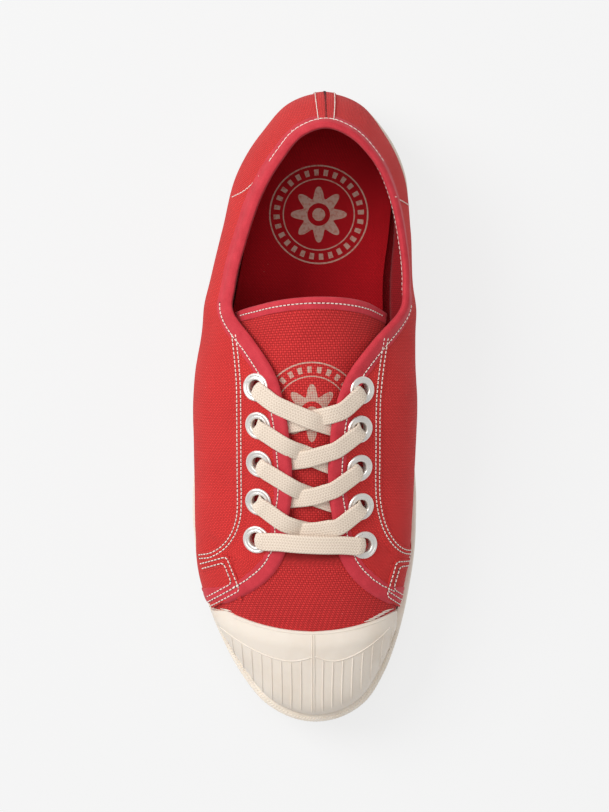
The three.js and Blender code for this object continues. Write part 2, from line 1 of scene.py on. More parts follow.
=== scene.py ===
"""A low red canvas plimsoll for the right foot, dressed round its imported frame.

Sizes are in millimetres and turn into metres where a mesh is made. The toe points along -Y, the outer side
of the shoe is -X and the inner side +X, and the floor is at Z = 0.
"""

from __future__ import annotations

import json
import logging
import math
from dataclasses import dataclass, field
from enum import Enum
from typing import Sequence

import bmesh
import bpy
import numpy as np
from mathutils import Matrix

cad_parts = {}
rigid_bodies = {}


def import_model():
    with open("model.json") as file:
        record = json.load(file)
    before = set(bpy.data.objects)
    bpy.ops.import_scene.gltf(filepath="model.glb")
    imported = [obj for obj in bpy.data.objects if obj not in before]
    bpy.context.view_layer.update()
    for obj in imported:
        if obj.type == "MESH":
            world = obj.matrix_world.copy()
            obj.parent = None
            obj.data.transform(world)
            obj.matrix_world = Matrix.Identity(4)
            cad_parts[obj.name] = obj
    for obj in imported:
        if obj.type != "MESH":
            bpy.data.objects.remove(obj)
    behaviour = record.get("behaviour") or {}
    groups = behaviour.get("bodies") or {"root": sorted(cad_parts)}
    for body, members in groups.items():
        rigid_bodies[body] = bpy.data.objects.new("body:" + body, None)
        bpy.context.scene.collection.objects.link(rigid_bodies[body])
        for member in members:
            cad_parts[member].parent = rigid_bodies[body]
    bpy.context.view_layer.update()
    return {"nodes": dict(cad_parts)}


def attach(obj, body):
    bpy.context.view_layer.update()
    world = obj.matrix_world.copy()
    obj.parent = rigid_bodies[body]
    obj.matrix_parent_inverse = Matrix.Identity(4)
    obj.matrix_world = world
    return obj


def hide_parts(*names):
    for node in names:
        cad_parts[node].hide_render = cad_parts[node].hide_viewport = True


log = logging.getLogger("plimsoll")

MM = 0.001
GAP = 0.3
Array = np.ndarray


# ------------------------------------------------------------------------------------------ the form
SECTION_COLUMNS = (
    "y", "lat", "med", "top_y", "top_lat", "top_med", "top_z",
    "lean_lat", "lean_med", "full", "slope", "fox_top", "fox_wall",
)
# The sections of the shoe from the back of the heel to the tip of the toe: the two edges of the sole, the
# top of the upper, the lean of its wall at the top, its fullness, and the foxing.
SECTIONS = (
    (125.2, 7, 7, 110.8, 7.6, 7.6, 66, 30, 30, 0.38, 0, 25, 2.8),
    (121.6, -6.2, 20.6, 107.2, -2.8, 18, 65.2, 32, 24, 0.38, 0, 25, 2.8),
    (110.5, -16.9, 31.6, 98, -10.8, 27.4, 62.6, 34, 14, 0.38, 0, 25, 2.8),
    (93, -26.8, 39.8, 84.5, -18.8, 34.4, 58.6, 36, 6, 0.42, 0, 24.5, 2.8),
    (71, -29.8, 40.6, 66, -25.4, 38.7, 55, 38, 4, 0.5, 0, 24, 2.8),
    (50, -33.6, 39, 47.5, -30, 40.2, 54.6, 38, 6, 0.54, 0, 23.2, 2.8),
    (36, -36.2, 39, 36, -30.4, 38.2, 57.4, 42, 22, 0.54, 0, 22.6, 2.8),
    (24, -38.6, 39.6, 24.4, -21.8, 27.4, 64.4, 52, 44, 0.52, 0, 22.2, 2.8),
    (12, -40.8, 40.5, 12, -13.8, 17.6, 68.8, 62, 58, 0.5, 0, 21.9, 2.8),
    (-2, -43, 41.6, -2, -9.8, 12.2, 69.4, 66, 64, 0.48, 0, 21.6, 2.8),
    (-18, -45, 43, -18, -7.6, 10, 66, 68, 68, 0.45, 0, 21.2, 2.8),
    (-36, -46.1, 44.3, -36, -6.8, 9.6, 59.8, 70, 70, 0.43, 0, 21, 2.8),
    (-48, -46, 44.2, -50, -7.8, 10.9, 55.2, 72, 72, 0.43, 0, 21, 2.8),
    (-54, -45.4, 44, -58.6, -6, 9.2, 52.8, 80, 80, 0.43, 0.16, 21, 2.8),
    (-59, -44.9, 43.6, -61.5, 1.6, 1.6, 52.4, 90, 90, 0.43, 0.2, 21, 2.8),
    (-72, -42.4, 41.7, -73, 2, 2, 49.8, 90, 90, 0.43, 0.24, 21.1, 2.8),
    (-94, -34.3, 36.6, -92.8, 2.4, 2.4, 44.4, 90, 90, 0.44, 0.32, 21.6, 3.1),
    (-108.5, -26.4, 31, -103, 2.8, 2.8, 40.8, 90, 90, 0.43, 0.42, 22.6, 3.5),
    (-120, -17, 23.4, -107.6, 3, 3, 38.8, 90, 90, 0.42, 0.46, 23.8, 3.8),
    (-126.2, -6, 13, -109.6, 3, 3, 37.9, 90, 90, 0.41, 0.48, 24.7, 4),
    (-127.8, 3.3, 3.3, -110.3, 3, 3, 37.6, 90, 90, 0.4, 0.48, 25, 4),
)
TOE = len(SECTIONS) - 1
FIRST_CLOSED = 14
AROUND = 2 * TOE
SPRING_START, SPRING_RISE, SPRING_REACH, SPRING_POWER = -66.0, 8.0, 61.8, 1.9
ARCH_FROM, ARCH_TO, ARCH_RISE = -8.0, 52.0, 1.2
SOLE_HEEL, SOLE_BALL, HEEL_Y, BALL_Y = 9.0, 6.0, 70.0, -20.0


class Side(Enum):
    """The two sides of the shoe, with the sign of their X."""

    OUTER = -1
    INNER = 1


# Lean of the upper's wall out of the sole, in degrees, at a few places along the shoe: Y and the lean.
WALL_FLARE = {
    Side.OUTER: ((112, 32), (72, 46), (30, 46), (-40, 24), (-72, 38), (-108, 0)),
    Side.INNER: ((125.2, 32), (112, 22), (45, 36), (0, 37), (-48, 18), (-72, 15), (-108, 0)),
}


def smoothstep(t: Array | float) -> Array:
    """Returns t eased from 0 to 1, flat outside that range."""
    c = np.clip(t, 0.0, 1.0)
    return c * c * (3.0 - 2.0 * c)


def unit(v: Array) -> Array:
    """Returns the vectors of v, along its last axis, at length 1."""
    return v / np.maximum(np.linalg.norm(v, axis=-1, keepdims=True), 1e-9)


def wall_flare(side: Side, y: float) -> float:
    """Lean of the wall out of the sole, eased between the places where it is set and held beyond them.

    Args:
        side: the side of the shoe.
        y: the place along the shoe.

    Returns:
        The lean in degrees.
    """
    stations = WALL_FLARE[side]
    if y >= stations[0][0]:
        return float(stations[0][1])
    for (from_y, start), (to_y, end) in zip(stations, stations[1:]):
        if y >= to_y:
            return start + (end - start) * float(smoothstep((from_y - y) / (from_y - to_y)))
    return float(stations[-1][1])


@dataclass(frozen=True)
class Sweep:
    """A smooth line in plan that leaves its start and reaches its end along set directions."""

    start: tuple[float, float]
    leave: tuple[float, float]
    reach: tuple[float, float]
    end: tuple[float, float]

    def points(self, count: int = 9) -> Array:
        """Returns this many points along the line."""
        t = np.linspace(0, 1, count)[:, None]
        a, b, c, d = (np.array(place, float) for place in (self.start, self.leave, self.reach, self.end))
        return a * (1 - t) ** 3 + 3 * b * t * (1 - t) ** 2 + 3 * c * t**2 * (1 - t) + d * t**3


def sole_bottom(y: Array) -> Array:
    """Height of the sole's underside: the spring of the toe and the rise of the waist.

    Args:
        y: places along the shoe.

    Returns:
        The height at each.
    """
    toe = np.maximum(0.0, (SPRING_START - y) / SPRING_REACH)
    waist = np.clip((y - ARCH_FROM) / (ARCH_TO - ARCH_FROM), 0.0, 1.0)
    return SPRING_RISE * toe**SPRING_POWER + ARCH_RISE * np.sin(np.pi * waist) ** 2


def sole_top(y: Array) -> Array:
    """Height of the outsole's upper face at each y."""
    heel = smoothstep((y - BALL_Y) / (HEEL_Y - BALL_Y))
    toe = np.maximum(0.0, (SPRING_START - y) / SPRING_REACH)
    return SOLE_BALL + (SOLE_HEEL - SOLE_BALL) * heel + SPRING_RISE * toe**SPRING_POWER


class Last:
    """The form of the shoe, a closed loop of ribs.

    A station s runs from 0 at the back of the heel, by the outer side, to TOE at the tip and on by the inner
    side to AROUND. Along a rib v is 0 at the top of the foxing and 1 at the top edge. Below 0 the wall goes
    straight down to the outsole, and above 1 a closed rib goes on down the other side.
    """

    def __init__(self) -> None:
        """Puts the section table in a loop and works out its smooth slopes."""
        rows = [dict(zip(SECTION_COLUMNS, values)) for values in SECTIONS]
        for row in rows:
            row["flare_lat"], row["flare_med"] = (wall_flare(side, row["y"]) for side in Side)
        order = list(range(TOE + 1)) + list(range(TOE - 1, 0, -1))
        outer = [k <= TOE for k in range(AROUND)]
        pairs = {"x": ("lat", "med"), "top_x": ("top_lat", "top_med"),
                 "flare": ("flare_lat", "flare_med"), "lean": ("lean_lat", "lean_med")}
        same = {name: (name, name)
                for name in ("y", "top_y", "top_z", "full", "slope", "fox_top", "fox_wall")}
        self._table = {
            name: np.array([rows[r][a if o else b] for r, o in zip(order, outer)], float)
            for name, (a, b) in {**pairs, **same}.items()
        }
        gaps = [
            (math.hypot(q["y"] - p["y"], q["lat"] - p["lat"])
             + math.hypot(q["y"] - p["y"], q["med"] - p["med"])) / 2
            for p, q in zip(rows, rows[1:])
        ]
        self._step = np.array(gaps + gaps[::-1])
        after, before = self._step, np.roll(self._step, 1)
        self._slopes = {}
        for name, values in self._table.items():
            into = (values - np.roll(values, 1)) / before
            out = (np.roll(values, -1) - values) / after
            self._slopes[name] = (into * after + out * before) / (before + after)

    def value(self, name: str, s: Array) -> Array:
        """Smooth value of a column of the table.

        Args:
            name: the column.
            s: stations.

        Returns:
            The column's value at each station.
        """
        s = np.asarray(s, float) % AROUND
        i = np.floor(s).astype(int) % AROUND
        j = (i + 1) % AROUND
        t = s - np.floor(s)
        a, b = self._table[name][i], self._table[name][j]
        h = self._step[i]
        ta, tb = self._slopes[name][i] * h, self._slopes[name][j] * h
        t2, t3 = t * t, t * t * t
        return a * (2 * t3 - 3 * t2 + 1) + ta * (t3 - 2 * t2 + t) + b * (3 * t2 - 2 * t3) + tb * (t3 - t2)

    @staticmethod
    def row(s: Array) -> Array:
        """Returns the section number of each station, the same on both sides."""
        s = np.asarray(s, float) % AROUND
        return np.where(s <= TOE, s, AROUND - s)

    def outline(self, s: Array, inset: Array | float = 0.0) -> tuple[Array, Array]:
        """The sole's outline in plan.

        Args:
            s: stations.
            inset: how far inside the outline, along its own normal.

        Returns:
            The points and the outward normals, each with X and Y last.
        """
        d = 0.01
        along = np.stack([self.value("x", s + d) - self.value("x", s - d),
                          self.value("y", s + d) - self.value("y", s - d)], -1)
        along = unit(along)
        out = np.stack([along[..., 1], -along[..., 0]], -1)
        here = np.stack([self.value("x", s), self.value("y", s)], -1)
        return here - out * np.expand_dims(np.asarray(inset, float), -1), out

    def skin(self, s: Array, v: Array) -> Array:
        """Points of the upper's outer face at stations s and heights v."""
        s, v = np.broadcast_arrays(np.asarray(s, float), np.asarray(v, float))
        row = self.row(s)
        over = (v > 1) & (row >= FIRST_CLOSED)
        s = np.where(over, AROUND - s, s)
        v = np.where(over, 2 - v, v)
        below = np.minimum(v, 0.0)
        v = np.clip(v, 0.0, 1.0)[..., None]
        foot, out = self.outline(s, self.value("fox_wall", s) + GAP)
        start = np.concatenate([foot, self.value("fox_top", s)[..., None]], -1)
        top_x = self.value("top_x", s)
        top_x = np.where(row >= FIRST_CLOSED, (top_x + self.value("top_x", AROUND - s)) / 2, top_x)
        end = np.stack([top_x, self.value("top_y", s), self.value("top_z", s)], -1)
        flare = np.radians(self.value("flare", s))[..., None]
        lean = np.radians(np.minimum(90.0, self.value("lean", s)))[..., None]
        across = unit((end - start)[..., :2])
        ease = smoothstep((row - FIRST_CLOSED + 2) / 3)[..., None]
        inward = unit(-out * (1 - ease) + across * ease)
        reach = (self.value("full", s) * np.linalg.norm(end - start, axis=-1))[..., None]
        rise = np.cos(lean) + self.value("slope", s)[..., None] * inward[..., 1:] * np.sin(lean)
        arrival = unit(np.concatenate([inward * np.sin(lean), rise], -1))
        leave = np.concatenate([out * np.sin(flare), np.cos(flare)], -1)
        c1, c2 = start + leave * reach, end - arrival * reach
        w = 1 - v
        point = w**3 * start + 3 * w * w * v * c1 + 3 * w * v * v * c2 + v**3 * end
        drop = self.value("fox_top", s) - sole_top(foot[..., 1]) - GAP
        point[..., 2] += below * drop
        return point

    def normal(self, s: Array, v: Array) -> Array:
        """Outward normals of the upper's face at stations s and heights v."""
        s, v = np.broadcast_arrays(np.asarray(s, float), np.asarray(v, float))
        d = 0.02
        ceiling = np.where(self.row(s) >= FIRST_CLOSED, 2.0, 1.0)
        mid = np.maximum(v, 0.0)
        high, low = np.minimum(mid + d, ceiling), np.maximum(mid - d, 0.0)
        along = self.skin(s + d, mid) - self.skin(s - d, mid)
        up = self.skin(s, high) - self.skin(s, low)
        face = unit(np.cross(along, up))
        ridge = (mid > 0.999) & (mid < 1.001) & (self.row(s) >= FIRST_CLOSED)
        level = np.stack([np.zeros_like(mid), -self.value("slope", s), np.ones_like(mid)], -1)
        face = np.where(ridge[..., None], unit(level), face)
        _, out = self.outline(s)
        wall = np.concatenate([out, np.zeros_like(out[..., :1])], -1)
        blend = smoothstep(-v * 4)[..., None]
        return unit(face * (1 - blend) + wall * blend)

    def offset(self, s: Array, v: Array, out: Array | float) -> Array:
        """Points at a distance outside the upper's outer face, or inside it where out is negative."""
        return self.skin(s, v) + self.normal(s, v) * np.expand_dims(np.asarray(out, float), -1)

    def locate(self, side: Side, plan: Array, start: float = 12.0) -> tuple[Array, Array]:
        """Finds where points in plan lie on the upper's face, by Newton's method.

        Args:
            side: the side of the shoe that they are on.
            plan: X and Y of each.
            start: the section where the search starts.

        Returns:
            Their stations and heights.
        """
        plan = np.atleast_2d(np.asarray(plan, float))
        row = np.interp(-plan[:, 1], -self._table["y"][:TOE + 1], np.arange(TOE + 1.0)) * 0.5 + start * 0.5
        s = row if side is Side.OUTER else AROUND - row
        v = np.full(len(plan), 0.7)
        for _ in range(40):
            p = self.skin(s, v)[:, :2]
            ds = (self.skin(s + 0.01, v)[:, :2] - p) / 0.01
            dv = (self.skin(s, v + 0.002)[:, :2] - self.skin(s, v - 0.002)[:, :2]) / 0.004
            det = ds[:, 0] * dv[:, 1] - ds[:, 1] * dv[:, 0]
            det = np.where(np.abs(det) < 1e-3, 1e-3, det)
            gap = plan - p
            s = s + np.clip((gap[:, 0] * dv[:, 1] - gap[:, 1] * dv[:, 0]) / det, -0.6, 0.6)
            v = np.clip(v + np.clip((ds[:, 0] * gap[:, 1] - ds[:, 1] * gap[:, 0]) / det, -0.2, 0.2), 0.05,
                        0.995)
        return s, v

    def walk(self, s: Array, v: Array, heading: Array, distance: float) -> tuple[Array, Array]:
        """Moves points over the face.

        Args:
            s: their stations.
            v: their heights.
            heading: the direction of each, in space.
            distance: how far to go.

        Returns:
            The stations and heights where they arrive.
        """
        s, v = np.array(s, float), np.array(v, float)
        steps = max(1, math.ceil(abs(distance) / 1.2))
        for _ in range(steps):
            base = self.skin(s, np.minimum(v, 0.999))
            js = (self.skin(s + 0.01, np.minimum(v, 0.999)) - base) / 0.01
            jv = (base - self.skin(s, np.minimum(v, 0.999) - 0.01)) / 0.01
            a, b, c = (js * js).sum(-1), (js * jv).sum(-1), (jv * jv).sum(-1)
            p, q = (js * heading).sum(-1), (jv * heading).sum(-1)
            det = np.maximum(a * c - b * b, 1e-6)
            s = s + (c * p - b * q) / det * distance / steps
            v = v + (a * q - b * p) / det * distance / steps
        return s, v

    def arch(self, row: float, drop: float, low: float = 0.0) -> tuple[Array, float]:
        """A section across the instep, carried over the open throat.

        Args:
            row: the section.
            drop: how far below the upper's outer face it lies.
            low: the height v where it starts and ends.

        Returns:
            Its points from the outer to the inner side, and the distance along it of its middle.
        """
        v = np.linspace(low, 1.0, 40)
        outer = self.offset(np.full(40, row), v, -drop)
        inner = self.offset(np.full(40, AROUND - row), v, -drop)[::-1]
        points = [outer]
        if row < FIRST_CLOSED:
            start, end = outer[-1], inner[0]
            reach = 0.36 * np.linalg.norm(end - start)
            leave, arrive = outer[-1] - outer[-2], inner[0] - inner[1]
            leave[1] = arrive[1] = 0.0
            c1, c2 = start + unit(leave) * reach, end + unit(arrive) * reach
            t = np.linspace(0, 1, 26)[1:-1, None]
            points.append((1 - t) ** 3 * start + 3 * (1 - t) ** 2 * t * c1 + 3 * (1 - t) * t * t * c2
                          + t**3 * end)
        points.append(inner)
        line = np.concatenate(points)
        length = np.concatenate([[0.0], np.cumsum(np.linalg.norm(np.diff(line, axis=0), axis=1))])
        middle = float(np.interp(2.0, line[:, 0], length)) if line[0, 0] < 2 < line[-1, 0] else length[-1] / 2
        return line, middle


LAST = Last()


def resample(line: Array, at: Array) -> Array:
    """Points of a line at given distances along it."""
    length = np.concatenate([[0.0], np.cumsum(np.linalg.norm(np.diff(line, axis=0), axis=1))])
    return np.stack([np.interp(at, length, line[:, k]) for k in range(line.shape[1])], -1)


def curve_through(points: Sequence[Sequence[float]] | Array, per_span: int = 8) -> Array:
    """A smooth line through given points.

    Args:
        points: the points, of any number of values each.
        per_span: how many steps between two of them.

    Returns:
        The dense line.
    """
    p = np.asarray(points, float)
    p = np.concatenate([[2 * p[0] - p[1]], p, [2 * p[-1] - p[-2]]])
    t = np.linspace(0, 1, per_span, endpoint=False)[:, None]
    out = []
    for a, b, c, d in zip(p, p[1:], p[2:], p[3:]):
        out.append(0.5
                * (2 * b + (c - a) * t + (2 * a - 5 * b + 4 * c - d) * t**2 + (3 * b - a - 3 * c + d) * t**3))
    return np.concatenate([*out, p[-2:-1]])


# ------------------------------------------------------------------------------------------ meshes
@dataclass
class Pattern:
    """Collects faces from grids of points and makes one mesh of them."""

    points: list[Array] = field(default_factory=list)
    faces: list[Array] = field(default_factory=list)
    coords: list[Array] = field(default_factory=list)
    slots: list[Array] = field(default_factory=list)
    count: int = 0

    def grid(self, p: Array, uv: Array | None = None, slot: int = 0, close_i: bool = False,
             close_j: bool = False, keep: Array | None = None) -> None:
        """Adds a grid of quads.

        Args:
            p: its points, in rows and columns.
            uv: cloth coordinates of the points, in millimetres, with one more row or column if closed.
            slot: its material.
            close_i: joins the last row to the first.
            close_j: joins the last column to the first.
            keep: which of the quads are made, by row and column, or None for all.
        """
        n, m = p.shape[:2]
        i, j = np.meshgrid(np.arange(n if close_i else n - 1), np.arange(m if close_j else m - 1),
                           indexing="ij")
        i, j = (i.ravel(), j.ravel()) if keep is None else (i[keep], j[keep])
        corners = [(i, j), (i + 1, j), (i + 1, j + 1), (i, j + 1)]
        quads = np.stack([(a % n) * m + (b % m) + self.count for a, b in corners], -1)
        if uv is None:
            uv = np.zeros((n + 1, m + 1, 2))
        self.points.append(p.reshape(-1, 3))
        self.faces.append(quads)
        self.coords.append(np.stack([uv[a, b] for a, b in corners], 1))
        self.slots.append(np.full(len(quads), slot))
        self.count += n * m

    def build(self, name: str, materials: Sequence[bpy.types.Material], crease: float = 40.0,
              outward: bool = True) -> bpy.types.Object:
        """Makes the object.

        Args:
            name: the piece's name.
            materials: its materials, by slot.
            crease: the angle in degrees past which an edge stays sharp.
            outward: turns every closed shell's faces outwards.

        Returns:
            The object, in the scene.
        """
        mesh = bpy.data.meshes.new(name)
        faces = np.concatenate(self.faces)
        mesh.from_pydata((np.concatenate(self.points) * MM).tolist(), [], faces.tolist())
        layer = mesh.uv_layers.new(name="cloth")
        layer.data.foreach_set("uv", np.concatenate(self.coords).reshape(-1).astype(np.float32))
        mesh.polygons.foreach_set("material_index", np.concatenate(self.slots).astype(np.int32))
        shape = bmesh.new()
        shape.from_mesh(mesh)
        bmesh.ops.remove_doubles(shape, verts=shape.verts, dist=2e-6)
        bmesh.ops.dissolve_degenerate(shape, edges=shape.edges, dist=1e-7)
        if outward:
            bmesh.ops.recalc_face_normals(shape, faces=shape.faces)
        shape.to_mesh(mesh)
        shape.free()
        mesh.shade_smooth()
        mesh.set_sharp_from_angle(angle=math.radians(crease))
        for material in materials:
            mesh.materials.append(material)
        piece = bpy.data.objects.new(name, mesh)
        bpy.context.scene.collection.objects.link(piece)
        return piece


def shell(outer: Array, inner: Array, uv: Array, slots: tuple[int, int] = (0, 1), seam: Array | None = None,
          hole_shade: Array | None = None) -> Pattern:
    """A closed sheet of cloth or rubber between an outer and an inner grid of points.

    Args:
        outer: the grid of the outer face.
        inner: the grid of the inner face.
        uv: cloth coordinates of the grid.
        slots: the materials of the outer and the inner face.
        seam: the steps between rows where the last column is joined to another part of the sheet.
        hole_shade: the quads that are cut out of the sheet, by row and column.

    Returns:
        The sheet's pattern.
    """
    pattern = Pattern()
    n, m = outer.shape[:2]
    keep = np.ones((n - 1, m - 1), bool) if hole_shade is None else ~hole_shade
    pattern.grid(outer, uv, slots[0], keep=keep)
    pattern.grid(inner, uv, slots[1], keep=keep)
    rim = np.ones((n - 1, 1), bool) if seam is None else ~seam[:, None]
    for k, made in ((0, None), (-1, rim)):
        pattern.grid(np.stack([outer[:, k], inner[:, k]], 1), np.stack([uv[:, k], uv[:, k]], 1), slots[0],
                     keep=made)
    for k in (0, -1):
        pattern.grid(np.stack([outer[k], inner[k]], 0), np.stack([uv[k], uv[k]], 0), slots[0])
    for i, j in np.argwhere(~keep):
        for (a, b), (c, d), beside in (((i, j), (i, j + 1), (i - 1, j)),
                                       ((i + 1, j), (i + 1, j + 1), (i + 1, j)),
                                       ((i, j), (i + 1, j), (i, j - 1)),
                                       ((i, j + 1), (i + 1, j + 1), (i, j + 1))):
            if keep[beside]:
                wall = np.array([[outer[a, b], outer[c, d]], [inner[a, b], inner[c, d]]])
                pattern.grid(wall, np.broadcast_to(uv[a, b], (2, 2, 2)), slots[0])
    return pattern


def cloth_coords(p: Array) -> Array:
    """Coordinates in millimetres over a grid of points, measured along its rows and columns."""
    along = np.concatenate([[0.0], np.cumsum(np.linalg.norm(np.diff(p, axis=0), axis=2).mean(axis=1))])
    rise = np.linalg.norm(np.diff(p, axis=1), axis=2)
    up = np.concatenate([np.zeros((len(p), 1)), np.cumsum(rise, axis=1)], 1)
    return np.stack([np.broadcast_to(along[:, None], up.shape), up], -1)


def dress(piece: bpy.types.Object, slot: str, *nodes: str) -> bpy.types.Object:
    """Fixes a finished piece to the shoe.

    Args:
        piece: the object.
        slot: a material slot of the record; not used.
        *nodes: the frame's nodes that it stands for.

    Returns:
        The same object.
    """
    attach(piece, "root")
    if nodes:
        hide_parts(*nodes)
    log.info("%s: %d faces", piece.name, len(piece.data.polygons))
    return piece


# ------------------------------------------------------------------------------------------ finishes
class Nodes:
    """A small hand for wiring a node tree."""

    def __init__(self, tree: bpy.types.NodeTree) -> None:
        """Takes the tree to wire."""
        self.tree = tree

    def add(self, kind: str, inputs: dict[str | int, object] | None = None,
            **settings: object) -> bpy.types.Node:
        """Adds a node.

        Args:
            kind: its type.
            inputs: values or sockets for its inputs, by name or number.
            **settings: its properties.

        Returns:
            The node.
        """
        node = self.tree.nodes.new(kind)
        for key, value in settings.items():
            setattr(node, key, value)
        self.put(node, inputs or {})
        return node

    def put(self, node: bpy.types.Node, inputs: dict[str | int, object]) -> None:
        """Links sockets to a node's inputs, by name or number, and sets the inputs given as values."""
        for key, value in inputs.items():
            if isinstance(value, bpy.types.NodeSocket):
                self.tree.links.new(value, node.inputs[key])
            else:
                node.inputs[key].default_value = value

    def noise(self, vector: bpy.types.NodeSocket, scale: float, detail: float = 2.0,
              roughness: float = 0.5) -> bpy.types.NodeSocket:
        """Returns a noise over the given coordinates."""
        return self.add("ShaderNodeTexNoise", {"Vector": vector, "Scale": scale, "Detail": detail,
                                               "Roughness": roughness}).outputs[0]

    def bump(self, strength: float, depth: float, height: bpy.types.NodeSocket) -> bpy.types.NodeSocket:
        """Returns the normal of a relief of this strength and depth in millimetres."""
        return self.add("ShaderNodeBump", {"Strength": strength, "Distance": depth * MM,
                                           "Height": height}).outputs[0]

    def math(self, operation: str, *values: object) -> bpy.types.NodeSocket:
        """Returns the result of a math node on the given numbers or sockets."""
        return self.add("ShaderNodeMath", dict(enumerate(values)), operation=operation).outputs[0]

    def mix(self, factor: object, a: object, b: object, blend: str = "MIX") -> bpy.types.NodeSocket:
        """Returns a mix of two colours."""
        return self.add("ShaderNodeMix", {0: factor, 6: a, 7: b}, data_type="RGBA",
                        blend_type=blend).outputs[2]

    def spread(self, value: bpy.types.NodeSocket, low: float, high: float, to_low: float = 0.0,
               to_high: float = 1.0) -> bpy.types.NodeSocket:
        """Returns a value mapped from one range to another and held inside it."""
        node = self.add("ShaderNodeMapRange", {0: value, 1: low, 2: high, 3: to_low, 4: to_high})
        return node.outputs[0]


def new_group(name: str, inputs: dict[str, tuple[str, object]], outputs: dict[str, str]) -> tuple[
        bpy.types.NodeTree, Nodes, bpy.types.Node, bpy.types.Node]:
    """Starts a shader node group.

    Args:
        name: its name.
        inputs: the kind and first value of each input.
        outputs: the kind of each output.

    Returns:
        The group, a hand for wiring it, and its input and output nodes.
    """
    group = bpy.data.node_groups.new(name, "ShaderNodeTree")
    for key, (kind, value) in inputs.items():
        socket = group.interface.new_socket(key, in_out="INPUT", socket_type=kind)
        if value is not None:
            socket.default_value = value
    for key, kind in outputs.items():
        group.interface.new_socket(key, in_out="OUTPUT", socket_type=kind)
    hand = Nodes(group)
    return group, hand, group.nodes.new("NodeGroupInput"), group.nodes.new("NodeGroupOutput")


FLOAT, VECTOR = "NodeSocketFloat", "NodeSocketVector"


def plain_weave() -> bpy.types.NodeTree:
    """A plain weave of round threads: its height, and how deep between the threads a point is.

    Returns:
        The group, made once.
    """
    if "plain weave" in bpy.data.node_groups:
        return bpy.data.node_groups["plain weave"]
    group, n, given, result = new_group(
        "plain weave",
        {"Vector": (VECTOR, None), "Warp": (FLOAT, 0.8), "Weft": (FLOAT, 0.8), "Slub": (FLOAT, 0.2)},
        {"Height": FLOAT, "Thread": FLOAT},
    )
    wander = n.add("ShaderNodeTexNoise", {"Vector": given.outputs["Vector"], "Scale": 0.35, "Detail": 2.0},
                   noise_dimensions="2D")
    shift = n.math("MULTIPLY", n.math("SUBTRACT", wander.outputs[0], 0.5), given.outputs["Slub"])
    split = n.add("ShaderNodeSeparateXYZ", {0: given.outputs["Vector"]})
    u = n.math("DIVIDE", n.math("ADD", split.outputs[0], shift), given.outputs["Warp"])
    v = n.math("DIVIDE", n.math("ADD", split.outputs[1], shift), given.outputs["Weft"])
    parity = n.math("MODULO", n.math("ADD", n.math("ADD", n.math("FLOOR", u), n.math("FLOOR", v)), 1000.0),
                    2.0)
    bump_u = n.math("SINE", n.math("MULTIPLY", n.math("FRACT", u), math.pi))
    bump_v = n.math("SINE", n.math("MULTIPLY", n.math("FRACT", v), math.pi))
    warp = n.math("MULTIPLY", bump_u, n.math("ADD", n.math("MULTIPLY", bump_v, 0.55), 0.45))
    weft = n.math("MULTIPLY", bump_v, n.math("ADD", n.math("MULTIPLY", bump_u, 0.55), 0.45))
    over = n.math("ADD", n.math("MULTIPLY", warp, parity),
                  n.math("MULTIPLY", weft, n.math("SUBTRACT", 1.0, parity)))
    n.tree.links.new(over, result.inputs["Height"])
    n.tree.links.new(parity, result.inputs["Thread"])
    return group


def lint() -> bpy.types.NodeTree:
    """Sparse pale specks of lint and loose fibre.

    Returns:
        The group, made once.
    """
    if "lint" in bpy.data.node_groups:
        return bpy.data.node_groups["lint"]
    group, n, given, result = new_group(
        "lint", {"Vector": (VECTOR, None), "Spacing": (FLOAT, 4.0), "Size": (FLOAT, 0.1)}, {"Speck": FLOAT})
    scale = n.math("DIVIDE", 1.0, given.outputs["Spacing"])
    cells = n.add("ShaderNodeTexVoronoi",
                  {"Vector": given.outputs["Vector"], "Scale": scale, "Randomness": 1.0})
    keep = n.add("ShaderNodeSeparateColor", {0: cells.outputs["Color"]})
    near = n.math("LESS_THAN", cells.outputs["Distance"], given.outputs["Size"])
    speck = n.math("MULTIPLY", near, n.math("GREATER_THAN", keep.outputs[0], 0.55))
    n.tree.links.new(speck, result.inputs["Speck"])
    return group


def new_material(name: str) -> tuple[bpy.types.Material, Nodes, bpy.types.Node]:
    """Starts a material.

    Args:
        name: its name.

    Returns:
        The material, a hand for wiring it, and its surface shader.
    """
    material = bpy.data.materials.new(name)
    material.use_nodes = True
    hand = Nodes(material.node_tree)
    return material, hand, material.node_tree.nodes["Principled BSDF"]


def srgb(r: int, g: int, b: int) -> tuple[float, float, float, float]:
    """Returns a colour given as it looks on a screen, in linear light."""
    line = [c / 255 for c in (r, g, b)]
    return (*[c / 12.92 if c <= 0.04045 else ((c + 0.055) / 1.055) ** 2.4 for c in line], 1.0)


